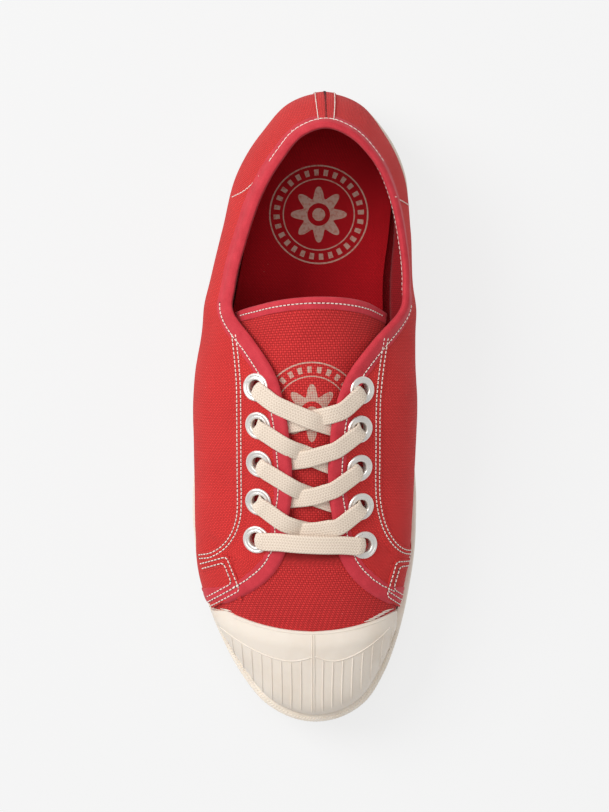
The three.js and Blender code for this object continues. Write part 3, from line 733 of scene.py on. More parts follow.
@dataclass(frozen=True)
class Canvas:
    """Woven cotton canvas."""

    name: str
    colour: tuple[float, float, float, float]
    # deep: the painted shade in the hollows between the threads.
    deep: tuple[float, float, float, float]
    warp: float = 0.8
    weft: float = 0.8
    relief: float = 0.5
    print_at: tuple[float, float] | None = None

    def material(self) -> bpy.types.Material:
        """Returns the canvas as a material on the piece's cloth coordinates."""
        material, n, shader = new_material(self.name)
        cloth = n.add("ShaderNodeUVMap", uv_map="cloth").outputs[0]
        weave = n.add("ShaderNodeGroup", node_tree=plain_weave())
        n.put(weave, {"Vector": cloth, "Warp": self.warp, "Weft": self.weft})
        body = n.add("ShaderNodeTexCoord").outputs["Object"]
        cloud = n.noise(body, 45.0, 5.0, 0.6)
        yarn = n.noise(cloth, 1.4, 3.0)
        # Painted shade: the low places between the threads take the darker deep colour.
        depth = n.spread(weave.outputs["Height"], 0.1, 0.85)
        tone = n.mix(depth, self.deep, self.colour)
        shade = n.spread(yarn, 0.3, 0.7, 0.86, 1.1)
        shade = n.math("MULTIPLY", shade, n.spread(cloud, 0.3, 0.7, 0.93, 1.06))
        shade = n.math("MULTIPLY", shade, n.spread(weave.outputs["Thread"], 0.0, 1.0, 0.84, 1.08))
        grey = n.add("ShaderNodeCombineColor", {0: shade, 1: shade, 2: shade}).outputs[0]
        tone = n.mix(1.0, tone, grey, "MULTIPLY")
        if self.print_at is not None:
            tone = printed_emblem(n, tone, body, self.print_at, weave.outputs["Height"])
        fluff = n.add("ShaderNodeGroup", node_tree=lint())
        n.put(fluff, {"Vector": cloth, "Size": 0.045})
        tone = n.mix(n.math("MULTIPLY", fluff.outputs[0], 0.35), tone, srgb(240, 160, 150))
        n.put(shader, {
            "Base Color": tone, "Roughness": n.spread(weave.outputs["Height"], 0.0, 1.0, 0.95, 0.78),
            "Normal": n.bump(self.relief, 0.25, weave.outputs["Height"]), "Sheen Weight": 0.06,
            "Sheen Roughness": 0.5, "Specular IOR Level": 0.15})
        return material


def printed_emblem(n: Nodes, cloth: bpy.types.NodeSocket, body: bpy.types.NodeSocket, at: tuple[float, float],
                   weave: bpy.types.NodeSocket) -> bpy.types.NodeSocket:
    """Prints a plain round emblem: two rings, short bars between them and an eight-part rosette.

    Args:
        n: the material's hand.
        cloth: the colour of the cloth.
        body: Object coordinates.
        at: X and Y of the middle, in millimetres.
        weave: height of the weave, where the ink sits on the raised threads.

    Returns:
        The colour of the printed cloth.
    """
    split = n.add("ShaderNodeSeparateXYZ", {0: body})
    x = n.math("SUBTRACT", n.math("DIVIDE", split.outputs[0], MM), at[0])
    y = n.math("SUBTRACT", n.math("DIVIDE", split.outputs[1], MM), at[1])
    radius = n.math("SQRT", n.math("ADD", n.math("MULTIPLY", x, x), n.math("MULTIPLY", y, y)))
    turn = n.math("ARCTAN2", y, x)

    def band(low: float, high: float) -> bpy.types.NodeSocket:
        """Returns 1 between two radii."""
        return n.math("MULTIPLY", n.math("GREATER_THAN", radius, low), n.math("LESS_THAN", radius, high))

    bars = n.math("GREATER_THAN", n.math("SINE", n.math("MULTIPLY", turn, 28.0)), 0.1)
    petals = n.math("ADD", 9.0, n.math("MULTIPLY", n.math("COSINE", n.math("MULTIPLY", turn, 8.0)), 2.4))
    rosette = n.math("MULTIPLY", n.math("LESS_THAN", radius, petals), n.math("GREATER_THAN", radius, 4.6))
    ink = n.math("MAXIMUM", band(19.6, 20.2), band(14.2, 14.7))
    ink = n.math("MAXIMUM", ink, n.math("MULTIPLY", band(15.9, 18.4), bars))
    ink = n.math("MAXIMUM", ink, n.math("MAXIMUM", rosette, n.math("LESS_THAN", radius, 2.6)))
    wear = n.noise(body, 900.0, 3.0)
    cover = n.math("MULTIPLY", n.spread(weave, 0.05, 0.5, 0.35, 1.0),
                   n.spread(wear, 0.32, 0.5, 0.55, 1.0))
    return n.mix(n.math("MULTIPLY", ink, cover), cloth, srgb(196, 166, 150))


@dataclass(frozen=True)
class Tape:
    """Smooth cotton binding tape with a fine twill."""

    name: str
    colour: tuple[float, float, float, float]
    deep: tuple[float, float, float, float]

    def material(self) -> bpy.types.Material:
        """Returns the tape as a material on the piece's cloth coordinates."""
        material, n, shader = new_material(self.name)
        cloth = n.add("ShaderNodeUVMap", uv_map="cloth").outputs[0]
        split = n.add("ShaderNodeSeparateXYZ", {0: cloth})
        slant = n.math("ADD", split.outputs[0], n.math("MULTIPLY", split.outputs[1], 0.6))
        rib = n.math("SINE", n.math("MULTIPLY", slant, 2 * math.pi / 0.42))
        fuzz = n.noise(cloth, 2.2, 5.0, 0.65)
        rumple = n.noise(cloth, 0.22)
        height = n.math("ADD", n.math("MULTIPLY", rib, 0.12),
                        n.math("ADD", n.math("MULTIPLY", fuzz, 0.35), rumple))
        mixing = n.spread(n.math("ADD", fuzz, n.math("MULTIPLY", rumple, 0.6)), 0.55,
                          1.0)
        n.put(shader, {
            "Base Color": n.mix(mixing, self.deep, self.colour), "Normal": n.bump(0.45, 0.35, height),
            "Roughness": n.spread(fuzz, 0.3, 0.7, 0.66, 0.8), "Sheen Weight": 0.08,
            "Specular IOR Level": 0.3})
        return material


@dataclass(frozen=True)
class Rubber:
    """Cream vulcanised rubber with a fine stipple and a few tiny bubbles."""

    name: str
    colour: tuple[float, float, float, float]
    stain: tuple[float, float, float, float]
    roughness: float = 0.5
    stipple: float = 0.15

    def material(self) -> bpy.types.Material:
        """Returns the rubber as a material on Object coordinates."""
        material, n, shader = new_material(self.name)
        body = n.add("ShaderNodeTexCoord").outputs["Object"]
        cloud = n.noise(body, 60.0, 6.0, 0.6)
        grain = n.noise(body, 1500.0, 3.0)
        pits = n.add("ShaderNodeTexVoronoi", {"Vector": body, "Scale": 230.0})
        kept = n.add("ShaderNodeSeparateColor", {0: pits.outputs["Color"]})
        pit = n.math("MULTIPLY", n.spread(pits.outputs["Distance"], 0.14, 0.06),
                     n.math("GREATER_THAN", kept.outputs[0], 0.9))
        tone = n.mix(n.spread(cloud, 0.42, 0.75), self.colour, self.stain)
        tone = n.mix(n.math("MULTIPLY", pit, 0.35), tone, srgb(178, 158, 132))
        rough = n.spread(cloud, 0.3, 0.7, self.roughness - 0.06, self.roughness + 0.08)
        height = n.math("SUBTRACT", n.math("MULTIPLY", grain, self.stipple), n.math("MULTIPLY", pit, 0.5))
        n.put(shader, {
            "Base Color": tone, "Roughness": rough, "Normal": n.bump(0.5, 0.2, height),
            "Subsurface Weight": 0.08, "Subsurface Radius": (0.004, 0.003, 0.002),
            "Specular IOR Level": 0.35})
        return material


@dataclass(frozen=True)
class PlatedMetal:
    """Bright nickel-plated aluminium with faint turning marks."""

    name: str

    def material(self) -> bpy.types.Material:
        """Returns the metal as a material on Object coordinates."""
        material, n, shader = new_material(self.name)
        body = n.add("ShaderNodeTexCoord").outputs["Object"]
        rub = n.noise(body, 700.0, 4.0)
        cloud = n.noise(body, 160.0)
        tone = n.mix(n.spread(cloud, 0.35, 0.7), srgb(246, 242, 237), srgb(236, 232, 227))
        n.put(shader, {"Base Color": tone, "Roughness": n.spread(rub, 0.3, 0.7, 0.26, 0.34),
                       "Normal": n.bump(0.05, 0.05, rub), "Metallic": 0.7})
        return material


@dataclass(frozen=True)
class Braid:
    """Flat cotton lace, a herringbone of soft yarns along its length."""

    name: str
    colour: tuple[float, float, float, float]
    # deep: the painted shade in the low places of the braid, with some random tone from the fuzz.
    deep: tuple[float, float, float, float]
    yarn: float = 1.15

    def material(self) -> bpy.types.Material:
        """Returns the lace as a material, its cloth coordinates running along and across it."""
        material, n, shader = new_material(self.name)
        cloth = n.add("ShaderNodeUVMap", uv_map="cloth").outputs[0]
        split = n.add("ShaderNodeSeparateXYZ", {0: cloth})
        lane = n.math("DIVIDE", split.outputs[1], self.yarn)
        zig = n.math("PINGPONG", lane, 1.0)
        chevron = n.math("ADD", n.math("DIVIDE", split.outputs[0], self.yarn), n.math("MULTIPLY", zig, 0.8))
        ridge = n.math("ABSOLUTE", n.math("SINE", n.math("MULTIPLY", chevron, math.pi)))
        rib = n.math("ABSOLUTE", n.math("SINE", n.math("MULTIPLY", lane, math.pi)))
        fuzz = n.noise(cloth, 3.0, 5.0, 0.7)
        height = n.math("ADD", n.math("MULTIPLY", ridge, 0.55),
                        n.math("ADD", n.math("MULTIPLY", rib, 0.35),
                               n.math("MULTIPLY", fuzz, 0.4)))
        # Partly painted shade, partly random tone: the low places between the ridges and ribs, and the fuzz,
        # take the darker deep colour.
        tone = n.mix(n.spread(height, 0.15, 0.95), self.deep, self.colour)
        n.put(shader, {"Base Color": tone, "Roughness": n.spread(fuzz, 0.3, 0.7, 0.85, 0.97),
                       "Normal": n.bump(0.6, 0.3, height), "Sheen Weight": 0.3, "Specular IOR Level": 0.2})
        return material


@dataclass(frozen=True)
class Thread:
    """Sewing thread, or the painted shade of the needle holes between its stitches."""

    name: str
    colour: tuple[float, float, float, float]
    deep: tuple[float, float, float, float]

    def material(self) -> bpy.types.Material:
        """Returns the thread as a material with a fine twist on Object coordinates."""
        material, n, shader = new_material(self.name)
        body = n.add("ShaderNodeTexCoord").outputs["Object"]
        twist = n.noise(body, 2600.0)
        n.put(shader, {"Base Color": n.mix(n.spread(twist, 0.35, 0.65), self.deep, self.colour),
                       "Roughness": n.spread(twist, 0.3, 0.7, 0.6, 0.8)})
        return material


@dataclass(frozen=True)
class Finishes:
    """Every material of the shoe."""

    quarter: bpy.types.Material
    vamp: bpy.types.Material
    tongue: bpy.types.Material
    shaded_lining: bpy.types.Material
    insole: bpy.types.Material
    tape: bpy.types.Material
    cap: bpy.types.Material
    foxing: bpy.types.Material
    sole: bpy.types.Material
    metal: bpy.types.Material
    lace: bpy.types.Material
    thread: bpy.types.Material
    needle_shade: bpy.types.Material

    @staticmethod
    def make() -> "Finishes":
        """Returns the shoe's materials, each made once."""
        return Finishes(
            quarter=Canvas("quarter canvas", srgb(219, 62, 59), srgb(176, 32, 34), 0.62, 0.74).material(),
            vamp=Canvas("vamp canvas", srgb(213, 60, 58), srgb(160, 26, 30), 0.95, 0.95, 0.7,
                        print_at=(2.0, -3.2)).material(),
            # The tongue's underside and the lining are darker copies of the red canvas: painted shade inside
            # the shoe.
            tongue=Canvas("tongue lining canvas", srgb(150, 22, 28), srgb(110, 10, 18)).material(),
            shaded_lining=Canvas("lining canvas", srgb(160, 24, 32), srgb(120, 12, 20), 0.7, 0.7, 0.35).material(),
            insole=Canvas("insole cloth", srgb(184, 16, 28), srgb(150, 8, 19), 0.55, 0.55, 0.3,
                          print_at=(4.9, 77.5)).material(),
            tape=Tape("binding tape", srgb(205, 56, 68), srgb(178, 36, 48)).material(),
            cap=Rubber("toe cap rubber", srgb(229, 218, 205), srgb(221, 208, 193)).material(),
            foxing=Rubber("foxing rubber", srgb(233, 223, 210), srgb(222, 210, 194), 0.55, 0.2).material(),
            sole=Rubber("sole rubber", srgb(226, 212, 190), srgb(214, 198, 174), 0.62, 0.4).material(),
            metal=PlatedMetal("eyelet metal").material(),
            lace=Braid("lace cotton", srgb(232, 216, 199), srgb(196, 174, 153)).material(),
            thread=Thread("white thread", srgb(246, 236, 226), srgb(214, 196, 186)).material(),
            # The painted shade of the needle holes between the stitches.
            needle_shade=Thread("needle hole shade", srgb(66, 22, 28), srgb(40, 12, 18)).material(),
        )


# ------------------------------------------------------------------------------------------ repeats
@dataclass(frozen=True)
class Repeat:
    """What is repeated along a line: its pitch, and each piece's length, thickness, rise and turn."""

    pitch: float
    length: float
    thick: float
    rise: float
    shift: float = 0.0
    turn: float = 0.0
    jitter: float = 0.07
    seed: int = 3


STITCH = Repeat(pitch=1.72, length=1.16, thick=0.24, rise=0.2)
# The needle holes' painted shade: small dark pieces set between the stitches.
NEEDLE_HOLE_SHADE = Repeat(pitch=1.72, length=0.3, thick=0.25, rise=0.02, shift=0.86)
LONG_STITCH = Repeat(pitch=2.05, length=1.75, thick=0.19, rise=0.16)
KNURL = Repeat(pitch=1.25, length=1.3, thick=0.26, rise=0.12, turn=0.8)


class Geometry:
    """A geometry node tree with named inputs, and the hand that wires it."""

    def __init__(self, name: str, inputs: dict[str, str]) -> None:
        """Starts the tree.

        Args:
            name: its name.
            inputs: the kind of each input.
        """
        self.tree = bpy.data.node_groups.new(name, "GeometryNodeTree")
        self.ids = {}
        for key, kind in {"Geometry": "NodeSocketGeometry", **inputs}.items():
            self.ids[key] = self.tree.interface.new_socket(key, in_out="INPUT", socket_type=kind).identifier
        self.tree.interface.new_socket("Geometry", in_out="OUTPUT", socket_type="NodeSocketGeometry")
        self.hand = Nodes(self.tree)
        self.given = self.tree.nodes.new("NodeGroupInput").outputs
        self.result = self.tree.nodes.new("NodeGroupOutput").inputs["Geometry"]

    def finish(self, shape: bpy.types.NodeSocket) -> None:
        """Ends the tree in Realize Instances and Set Material."""
        real = self.hand.add("GeometryNodeRealizeInstances", {0: shape})
        smooth = self.hand.add("GeometryNodeSetShadeSmooth", {0: real.outputs[0]})
        dressed = self.hand.add("GeometryNodeSetMaterial",
                                {"Geometry": smooth.outputs[0], "Material": self.given["Finish"]})
        self.tree.links.new(dressed.outputs[0], self.result)

    def run(self, name: str, lines: Sequence[tuple[Array, Array]],
            values: dict[str, object]) -> bpy.types.Mesh:
        """Runs the tree on lines.

        Args:
            name: the name of the mesh it makes.
            lines: the points and normals of each line, in millimetres.
            values: values of the tree's inputs.

        Returns:
            A plain mesh.
        """
        mesh = bpy.data.meshes.new(f"{name}_lines")
        points = np.concatenate([p for p, _ in lines]) * MM
        ends = np.cumsum([len(p) for p, _ in lines])
        edges = [(k, k + 1) for k in range(len(points) - 1) if k + 1 not in ends]
        mesh.from_pydata(points.tolist(), edges, [])
        up = mesh.attributes.new("up", "FLOAT_VECTOR", "POINT")
        up.data.foreach_set("vector", np.concatenate([n for _, n in lines]).reshape(-1).astype(np.float32))
        holder = bpy.data.objects.new(f"{name}_lines", mesh)
        bpy.context.scene.collection.objects.link(holder)
        modifier = holder.modifiers.new("repeat", "NODES")
        modifier.node_group = self.tree
        for key, value in values.items():
            modifier[self.ids[key]] = value
        bpy.context.view_layer.update()
        graph = bpy.context.evaluated_depsgraph_get()
        result = bpy.data.meshes.new_from_object(holder.evaluated_get(graph), preserve_all_data_layers=True,
                                                 depsgraph=graph)
        holder.modifiers.remove(modifier)
        bpy.data.objects.remove(holder)
        result.name = name
        return result


class Repeats:
    """The trees that lay stitches, knurls and raised lines along lines."""

    def __init__(self) -> None:
        """Builds both trees."""
        self.rows = self._rows()
        self.ribs = self._ribs()

    @staticmethod
    def _rows() -> Geometry:
        """Returns the tree that lays short rounded pieces along lines, turned to line and normal."""
        g = Geometry("row of pieces", {
            "Pitch": FLOAT, "Length": FLOAT, "Thick": FLOAT, "Rise": FLOAT, "Shift": FLOAT, "Turn": FLOAT,
            "Jitter": FLOAT, "Seed": "NodeSocketInt", "Finish": "NodeSocketMaterial"})
        n, given = g.hand, g.given
        line = n.add("GeometryNodeMeshToCurve", {"Mesh": given["Geometry"]}).outputs[0]
        even = n.add("GeometryNodeResampleCurve", {"Curve": line, "Length": given["Pitch"]},
                     mode="LENGTH").outputs[0]
        tangent = n.add("GeometryNodeInputTangent").outputs[0]
        up = n.add("GeometryNodeInputNamedAttribute", {"Name": "up"}, data_type="FLOAT_VECTOR").outputs[0]
        first = n.add("FunctionNodeAlignRotationToVector", {"Vector": tangent}, axis="X").outputs[0]
        turned = n.add("FunctionNodeAlignRotationToVector", {"Rotation": first, "Vector": up}, axis="Z",
                       pivot_axis="X").outputs[0]
        wobble = n.add("FunctionNodeRandomValue", data_type="FLOAT")
        n.tree.links.new(given["Jitter"], wobble.inputs[3])
        n.tree.links.new(n.math("MULTIPLY", given["Jitter"], -1.0), wobble.inputs[2])
        n.tree.links.new(given["Seed"], wobble.inputs["Seed"])
        yaw = n.math("ADD", wobble.outputs[1], given["Turn"])
        spin = n.add("FunctionNodeEulerToRotation", {0: n.add("ShaderNodeCombineXYZ", {2: yaw}).outputs[0]})
        turned = n.add("FunctionNodeRotateRotation", {"Rotation": turned, "Rotate By": spin.outputs[0]},
                       rotation_space="LOCAL").outputs[0]
        half = n.math("MULTIPLY", given["Length"], 0.5)
        low = n.math("MULTIPLY", given["Thick"], -0.6)
        start = n.add("ShaderNodeCombineXYZ",
                      {0: n.math("SUBTRACT", given["Shift"], half), 2: low}).outputs[0]
        middle = n.add("ShaderNodeCombineXYZ",
                       {0: given["Shift"], 2: n.math("MULTIPLY", given["Rise"], 2.0)}).outputs[0]
        end = n.add("ShaderNodeCombineXYZ", {0: n.math("ADD", given["Shift"], half), 2: low}).outputs[0]
        arch = n.add("GeometryNodeCurveQuadraticBezier",
                     {"Resolution": 4, "Start": start, "Middle": middle, "End": end}).outputs[0]
        ring = n.add("GeometryNodeCurvePrimitiveCircle",
                     {"Resolution": 6, "Radius": given["Thick"]}).outputs[0]
        piece = n.add("GeometryNodeCurveToMesh", {"Curve": arch, "Profile Curve": ring, "Fill Caps": True})
        laid = n.add("GeometryNodeInstanceOnPoints",
                     {"Points": even, "Instance": piece.outputs[0], "Rotation": turned}).outputs[0]
        g.finish(laid)
        return g

    @staticmethod
    def _ribs() -> Geometry:
        """Returns the tree that lays a round raised line along lines, thinner at its ends."""
        g = Geometry("raised line", {"Thick": FLOAT, "Taper": FLOAT, "Finish": "NodeSocketMaterial"})
        n, given = g.hand, g.given
        line = n.add("GeometryNodeMeshToCurve", {"Mesh": given["Geometry"]}).outputs[0]
        share = n.add("GeometryNodeSplineParameter").outputs[0]
        nearest = n.math("MINIMUM", share, n.math("SUBTRACT", 1.0, share))
        taper = n.math("MINIMUM", 1.0, n.math("ADD", 0.35, n.math("DIVIDE", nearest, given["Taper"])))
        sized = n.add("GeometryNodeSetCurveRadius", {"Curve": line, "Radius": taper}).outputs[0]
        ring = n.add("GeometryNodeCurvePrimitiveCircle",
                     {"Resolution": 8, "Radius": given["Thick"]}).outputs[0]
        swept = n.add("GeometryNodeCurveToMesh", {"Curve": sized, "Profile Curve": ring, "Fill Caps": True})
        if "Scale" in swept.inputs:
            n.tree.links.new(taper, swept.inputs["Scale"])
        g.finish(swept.outputs[0])
        return g

    @staticmethod
    def piece(name: str, meshes: Sequence[bpy.types.Mesh]) -> bpy.types.Object:
        """Joins meshes into one object.

        Args:
            name: its name.
            meshes: its parts.

        Returns:
            The object, in the scene.
        """
        whole = bmesh.new()
        materials = []
        for part in meshes:
            first = len(whole.faces)
            whole.from_mesh(part)
            whole.faces.ensure_lookup_table()
            for face in whole.faces[first:]:
                face.material_index = len(materials)
            materials.append(part.materials[-1])
        bmesh.ops.recalc_face_normals(whole, faces=whole.faces)
        mesh = bpy.data.meshes.new(name)
        whole.to_mesh(mesh)
        whole.free()
        for material in materials:
            mesh.materials.append(material)
        mesh.shade_smooth()
        piece = bpy.data.objects.new(name, mesh)
        bpy.context.scene.collection.objects.link(piece)
        return piece

    def stitches(self, name: str, lines: Sequence[tuple[Array, Array]], kind: Repeat,
                 finish: bpy.types.Material) -> bpy.types.Mesh:
        """Lays pieces along lines.

        Args:
            name: the name of the mesh.
            lines: points and normals of each line.
            kind: the sizes of the pieces.
            finish: their material.

        Returns:
            A plain mesh.
        """
        values = {"Pitch": kind.pitch * MM, "Length": kind.length * MM, "Thick": kind.thick * MM,
                  "Rise": kind.rise * MM, "Shift": kind.shift * MM, "Turn": kind.turn, "Jitter": kind.jitter,
                  "Seed": kind.seed, "Finish": finish}
        return self.rows.run(name, lines, values)

    def raised(self, name: str, lines: Sequence[tuple[Array, Array]], thick: float,
               finish: bpy.types.Material, taper: float = 0.03) -> bpy.types.Mesh:
        """Lays raised lines.

        Args:
            name: the name of the mesh.
            lines: points and normals of each line.
            thick: the radius of the line.
            finish: its material.
            taper: the share of its length over which it thins at each end.

        Returns:
            A plain mesh.
        """
        return self.ribs.run(name, lines, {"Thick": thick * MM, "Taper": taper, "Finish": finish})


# ------------------------------------------------------------------------------------------ upper
def surface_curve(side: Side, plan: Sequence[tuple[float, float]], per_span: int = 8) -> tuple[Array, Array]:
    """A smooth line drawn on the upper through points chosen in plan.

    Args:
        side: the side of the shoe.
        plan: X and Y of the points.
        per_span: steps between two points.

    Returns:
        The stations and heights of the line.
    """
    dense = curve_through(plan, per_span)
    return LAST.locate(side, dense)


@dataclass
class Edge:
    """A line on the upper's face with its tangent, normal and the direction into the panel."""

    s: Array
    v: Array
    flip: float = 1.0

    def __post_init__(self) -> None:
        """Works out the frames along the line."""
        self.point = LAST.skin(self.s, self.v)
        self.normal = LAST.normal(self.s, self.v)
        self.along = unit(np.gradient(self.point, axis=0))
        self.into = unit(np.cross(self.normal, self.along)) * self.flip

    def rail(self, distance: float, lift: float) -> tuple[Array, Array]:
        """A line beside this one on the face.

        Args:
            distance: how far into the panel, or past the edge where negative.
            lift: how far above the face.

        Returns:
            Its points and normals.
        """
        if distance <= 0:
            return self.point + self.into * distance + self.normal * lift, self.normal
        s, v = LAST.walk(self.s, self.v, self.into, distance)
        normal = LAST.normal(s, v)
        return LAST.skin(s, v) + normal * lift, normal


@dataclass
class Upper:
    """The canvas upper: two quarters with their binding, and the vamp that runs on as the tongue."""

    finishes: Finishes
    repeats: Repeats
    seats: "dict[Side, list[Seat]]"
    wall: float = 2.0
    front_ply: float = 0.85
    vamp_drop: float = 0.9
    tongue_drop: float = 4.1
    tongue_ply: float = 1.8
    tape_width: float = 6.4
    tape_seam: float = 4.6
    hole: float = 4.0
    throat_row: float = 11.6
    corner_row: float = 15.38
    outer_front: Sweep = Sweep((-7.2, -44), (-7.2, -64), (-16, -72), (-32.2, -78.6))
    inner_front: Sweep = Sweep((10.6, -44), (11.5, -60), (16.5, -71), (33.6, -79))

    def thickness(self, s: Array) -> Array:
        """Returns the quarter's thickness: the full wall, or one thin ply where it lies on the vamp."""
        ease = smoothstep((LAST.row(s) - self.throat_row) / 1.2)
        return self.wall * (1 - ease) + self.front_ply * ease

    def front_line(self, side: Side) -> tuple[Array, Array]:
        """The top and front edge of one quarter.

        Args:
            side: the side of the shoe.

        Returns:
            Stations and heights from the back of the heel to the foxing.
        """
        front = self.outer_front if side is Side.OUTER else self.inner_front
        s, v = surface_curve(side, front.points(), 10)
        row = LAST.row(s)
        start = row[0]
        rim = np.linspace(0, start, 170, endpoint=False)
        rim_v = np.ones_like(rim)
        ease = smoothstep((rim - (start - 1.2)) / 1.2)
        rim_v = 1 - (1 - v[0]) * ease
        end_row = np.linspace(row[-1], self.corner_row, 14)[1:]
        end_v = v[-1] + (-0.08 - v[-1]) * np.linspace(0, 1, 14)[1:] ** 0.9
        row = np.maximum.accumulate(np.concatenate([rim, row, end_row]))
        height = np.concatenate([rim_v, v, end_v])
        return (row if side is Side.OUTER else AROUND - row), height

    def ripple(self, p: Array) -> Array:
        """Soft creases of the canvas, at listed places.

        Args:
            p: points on the face.

        Returns:
            How far each is pushed out.
        """
        out = np.zeros(p.shape[:-1])
        for x0, y0, x1, y1, width, depth in CREASES:
            a, b = np.array([x0, y0]), np.array([x1, y1])
            t = np.clip(((p[..., :2] - a) @ (b - a)) / ((b - a) @ (b - a)), 0, 1)
            gap = np.linalg.norm(p[..., :2] - (a + t[..., None] * (b - a)), axis=-1)
            out += depth * np.exp(-((gap / width) ** 2)) * np.sin(np.pi * (0.12 + 0.76 * t))
        return out

    def quarter(self, side: Side) -> bpy.types.Object:
        """Builds one quarter, from the back seam to its front edge, with its lining in a darker canvas that
        paints the shade inside the shoe.

        Args:
            side: the side of the shoe.

        Returns:
            The piece.
        """
        s, top = self.front_line(side)
        low = np.linspace(-1.0, 0.0, 5, endpoint=False)
        share = np.linspace(0.0, 1.0, 44)
        v = np.concatenate([np.broadcast_to(low, (len(s), 5)), top[:, None] * share[None, :]], 1)
        v = np.where(top[:, None] < v, top[:, None], v)
        stations = np.broadcast_to(s[:, None], v.shape)
        face = LAST.offset(stations, v, 0.0)
        normal = LAST.normal(stations, v)
        above = smoothstep(v * 6)
        coords = cloth_coords(face)
        hole_shade = np.zeros((face.shape[0] - 1, face.shape[1] - 1), bool)
        for seat in self.seats[side]:
            gap = face - seat.middle
            far = np.linalg.norm(gap, axis=-1)
            inside = far < self.hole - 0.7
            near = (far < self.hole + 0.4) & ~inside
            face = np.where(near[..., None],
                            seat.middle + gap / np.maximum(far, 0.1)[..., None] * self.hole, face)
            hole_shade |= inside[:-1, :-1] | inside[1:, :-1] | inside[:-1, 1:] | inside[1:, 1:]
        outer = face + normal * (self.ripple(face) * above)[..., None]
        inner = face - normal * self.thickness(stations)[..., None]
        name = f"quarter_{side.name.lower()}"
        sheet = shell(outer, inner, coords, hole_shade=hole_shade)
        # The inner face takes the darker lining canvas: painted shade inside the shoe.
        piece = sheet.build(name, [self.finishes.quarter, self.finishes.shaded_lining])
        return dress(piece, "canvas", "upper")

    def binding_edge(self) -> Edge:
        """Returns the whole bound edge, from the outer front corner round the collar to the inner one."""
        s_out, v_out = self.front_line(Side.OUTER)
        s_in, v_in = self.front_line(Side.INNER)
        s = np.concatenate([s_out[::-1], s_in[1:] - AROUND])
        v = np.concatenate([v_out[::-1], v_in[1:]])
        line = LAST.skin(s, v)
        length = np.concatenate([[0.0], np.cumsum(np.linalg.norm(np.diff(line, axis=0), axis=1))])
        at = np.arange(0, length[-1], 1.0)
        return Edge(np.interp(at, length, s), np.interp(at, length, v))

    def binding(self) -> bpy.types.Object:
        """Builds the tape that is folded over the collar and the throat's edges."""
        edge = self.binding_edge()
        ply = self.thickness(edge.s)
        width = self.tape_width
        stations = [(width, 0.02, 0), (width - 0.15, 0.42, 0), (self.tape_seam + 0.9, 0.5, 0),
                    (self.tape_seam, 0.34, 0), (self.tape_seam - 0.9, 0.55, 0), (2.2, 0.62, 0),
                    (0.8, 0.55, 0),
                    (-0.2, 0.3, 0), (-0.75, -0.2, 0.3), (-0.85, 0, 0.5), (-0.7, 0.1, 0.8), (-0.1, -0.3, 1),
                    (0.9, -0.5, 1), (3.0, -0.5, 1), (width - 0.2, -0.4, 1), (width, -0.05, 1)]
        rails = []
        wave = 0.14 * np.sin(np.arange(len(ply)) * 0.31) + 0.1 * np.sin(np.arange(len(ply)) * 0.83 + 1.0)
        for distance, lift, through in stations:
            point, normal = edge.rail(distance, 0.0)
            height = lift - through * ply
            rails.append(point + normal * height[:, None] + edge.into * (wave * (distance > 6))[:, None])
        p = np.stack(rails, 1)
        pattern = Pattern()
        closed = np.concatenate([p, p[:, :1]], 1)
        coords = cloth_coords(closed)
        pattern.grid(p, np.concatenate([coords, coords[-1:]], 0), 0, close_j=True)
        for k in (0, -1):
            half = p.shape[1] // 2
            strip = np.stack([p[k, :half], p[k, half:][::-1]], 0)
            pattern.grid(strip)
        piece = pattern.build("collar_and_throat_binding", [self.finishes.tape], crease=60)
        self.binding_stitches(edge)
        return dress(piece, "canvas", "upper")

    def tongue_section(self, row: float, drop: float, columns: int) -> Array:
        """A section of the vamp or the tongue.

        Args:
            row: the section of the shoe.
            drop: how far below the upper's outer face it lies.
            columns: the number of points.

        Returns:
            The points from the outer to the inner side.
        """
        line, middle = LAST.arch(row, drop, -0.12)
        total = np.linalg.norm(np.diff(line, axis=0), axis=1).sum()
        t = (15 - row) / 8
        half = 21 + 12.5 * t
        ease = float(smoothstep((row - 13.0) / 1.4))
        left = half * (1 - ease) + middle * ease
        right = half * (1 - ease) + (total - middle) * ease
        return resample(line, np.linspace(middle - left, middle + right, columns))

    def vamp_and_tongue(self) -> bpy.types.Object:
        """Builds the vamp and the tongue, one sheet from the toe cap to the free end at the ankle."""
        columns = 74
        rows = np.concatenate([np.linspace(17.2, 13.0, 52, endpoint=False), np.linspace(13.0, 7.0, 64)])
        sheets: list[list[Array]] = [[], []]
        for row in rows:
            ease = float(smoothstep((13.9 - row) / 2.4))
            drop = self.vamp_drop + (self.tongue_drop - self.vamp_drop) * ease
            ply = 0.9 + (self.tongue_ply - 0.9) * ease
            sheets[0].append(self.tongue_section(row, drop, columns))
            sheets[1].append(self.tongue_section(row, drop + ply, columns))
        cross = np.linspace(-1, 1, columns)
        crown = 1 - cross**2
        for sheet in sheets:
            last = sheet[-1].copy()
            for e in np.linspace(0, 1, 15)[1:]:
                move = np.stack([last[:, 0] * 0.03, 11 + 5.5 * crown, 5 * crown - 3.5 * (1 - crown)], -1)
                sheet.append(last + move * e)
        outer, inner = np.array(sheets[0]), np.array(sheets[1])
        outer[..., 2] += self.ripple(outer)
        coords = cloth_coords(outer)
        # The underside takes the darker tongue lining canvas: painted shade under the tongue.
        piece = shell(outer, inner, coords).build("vamp_and_tongue",
                                                  [self.finishes.vamp, self.finishes.tongue])
        self.tongue_binding(outer, inner)
        return dress(piece, "canvas", "tongue")

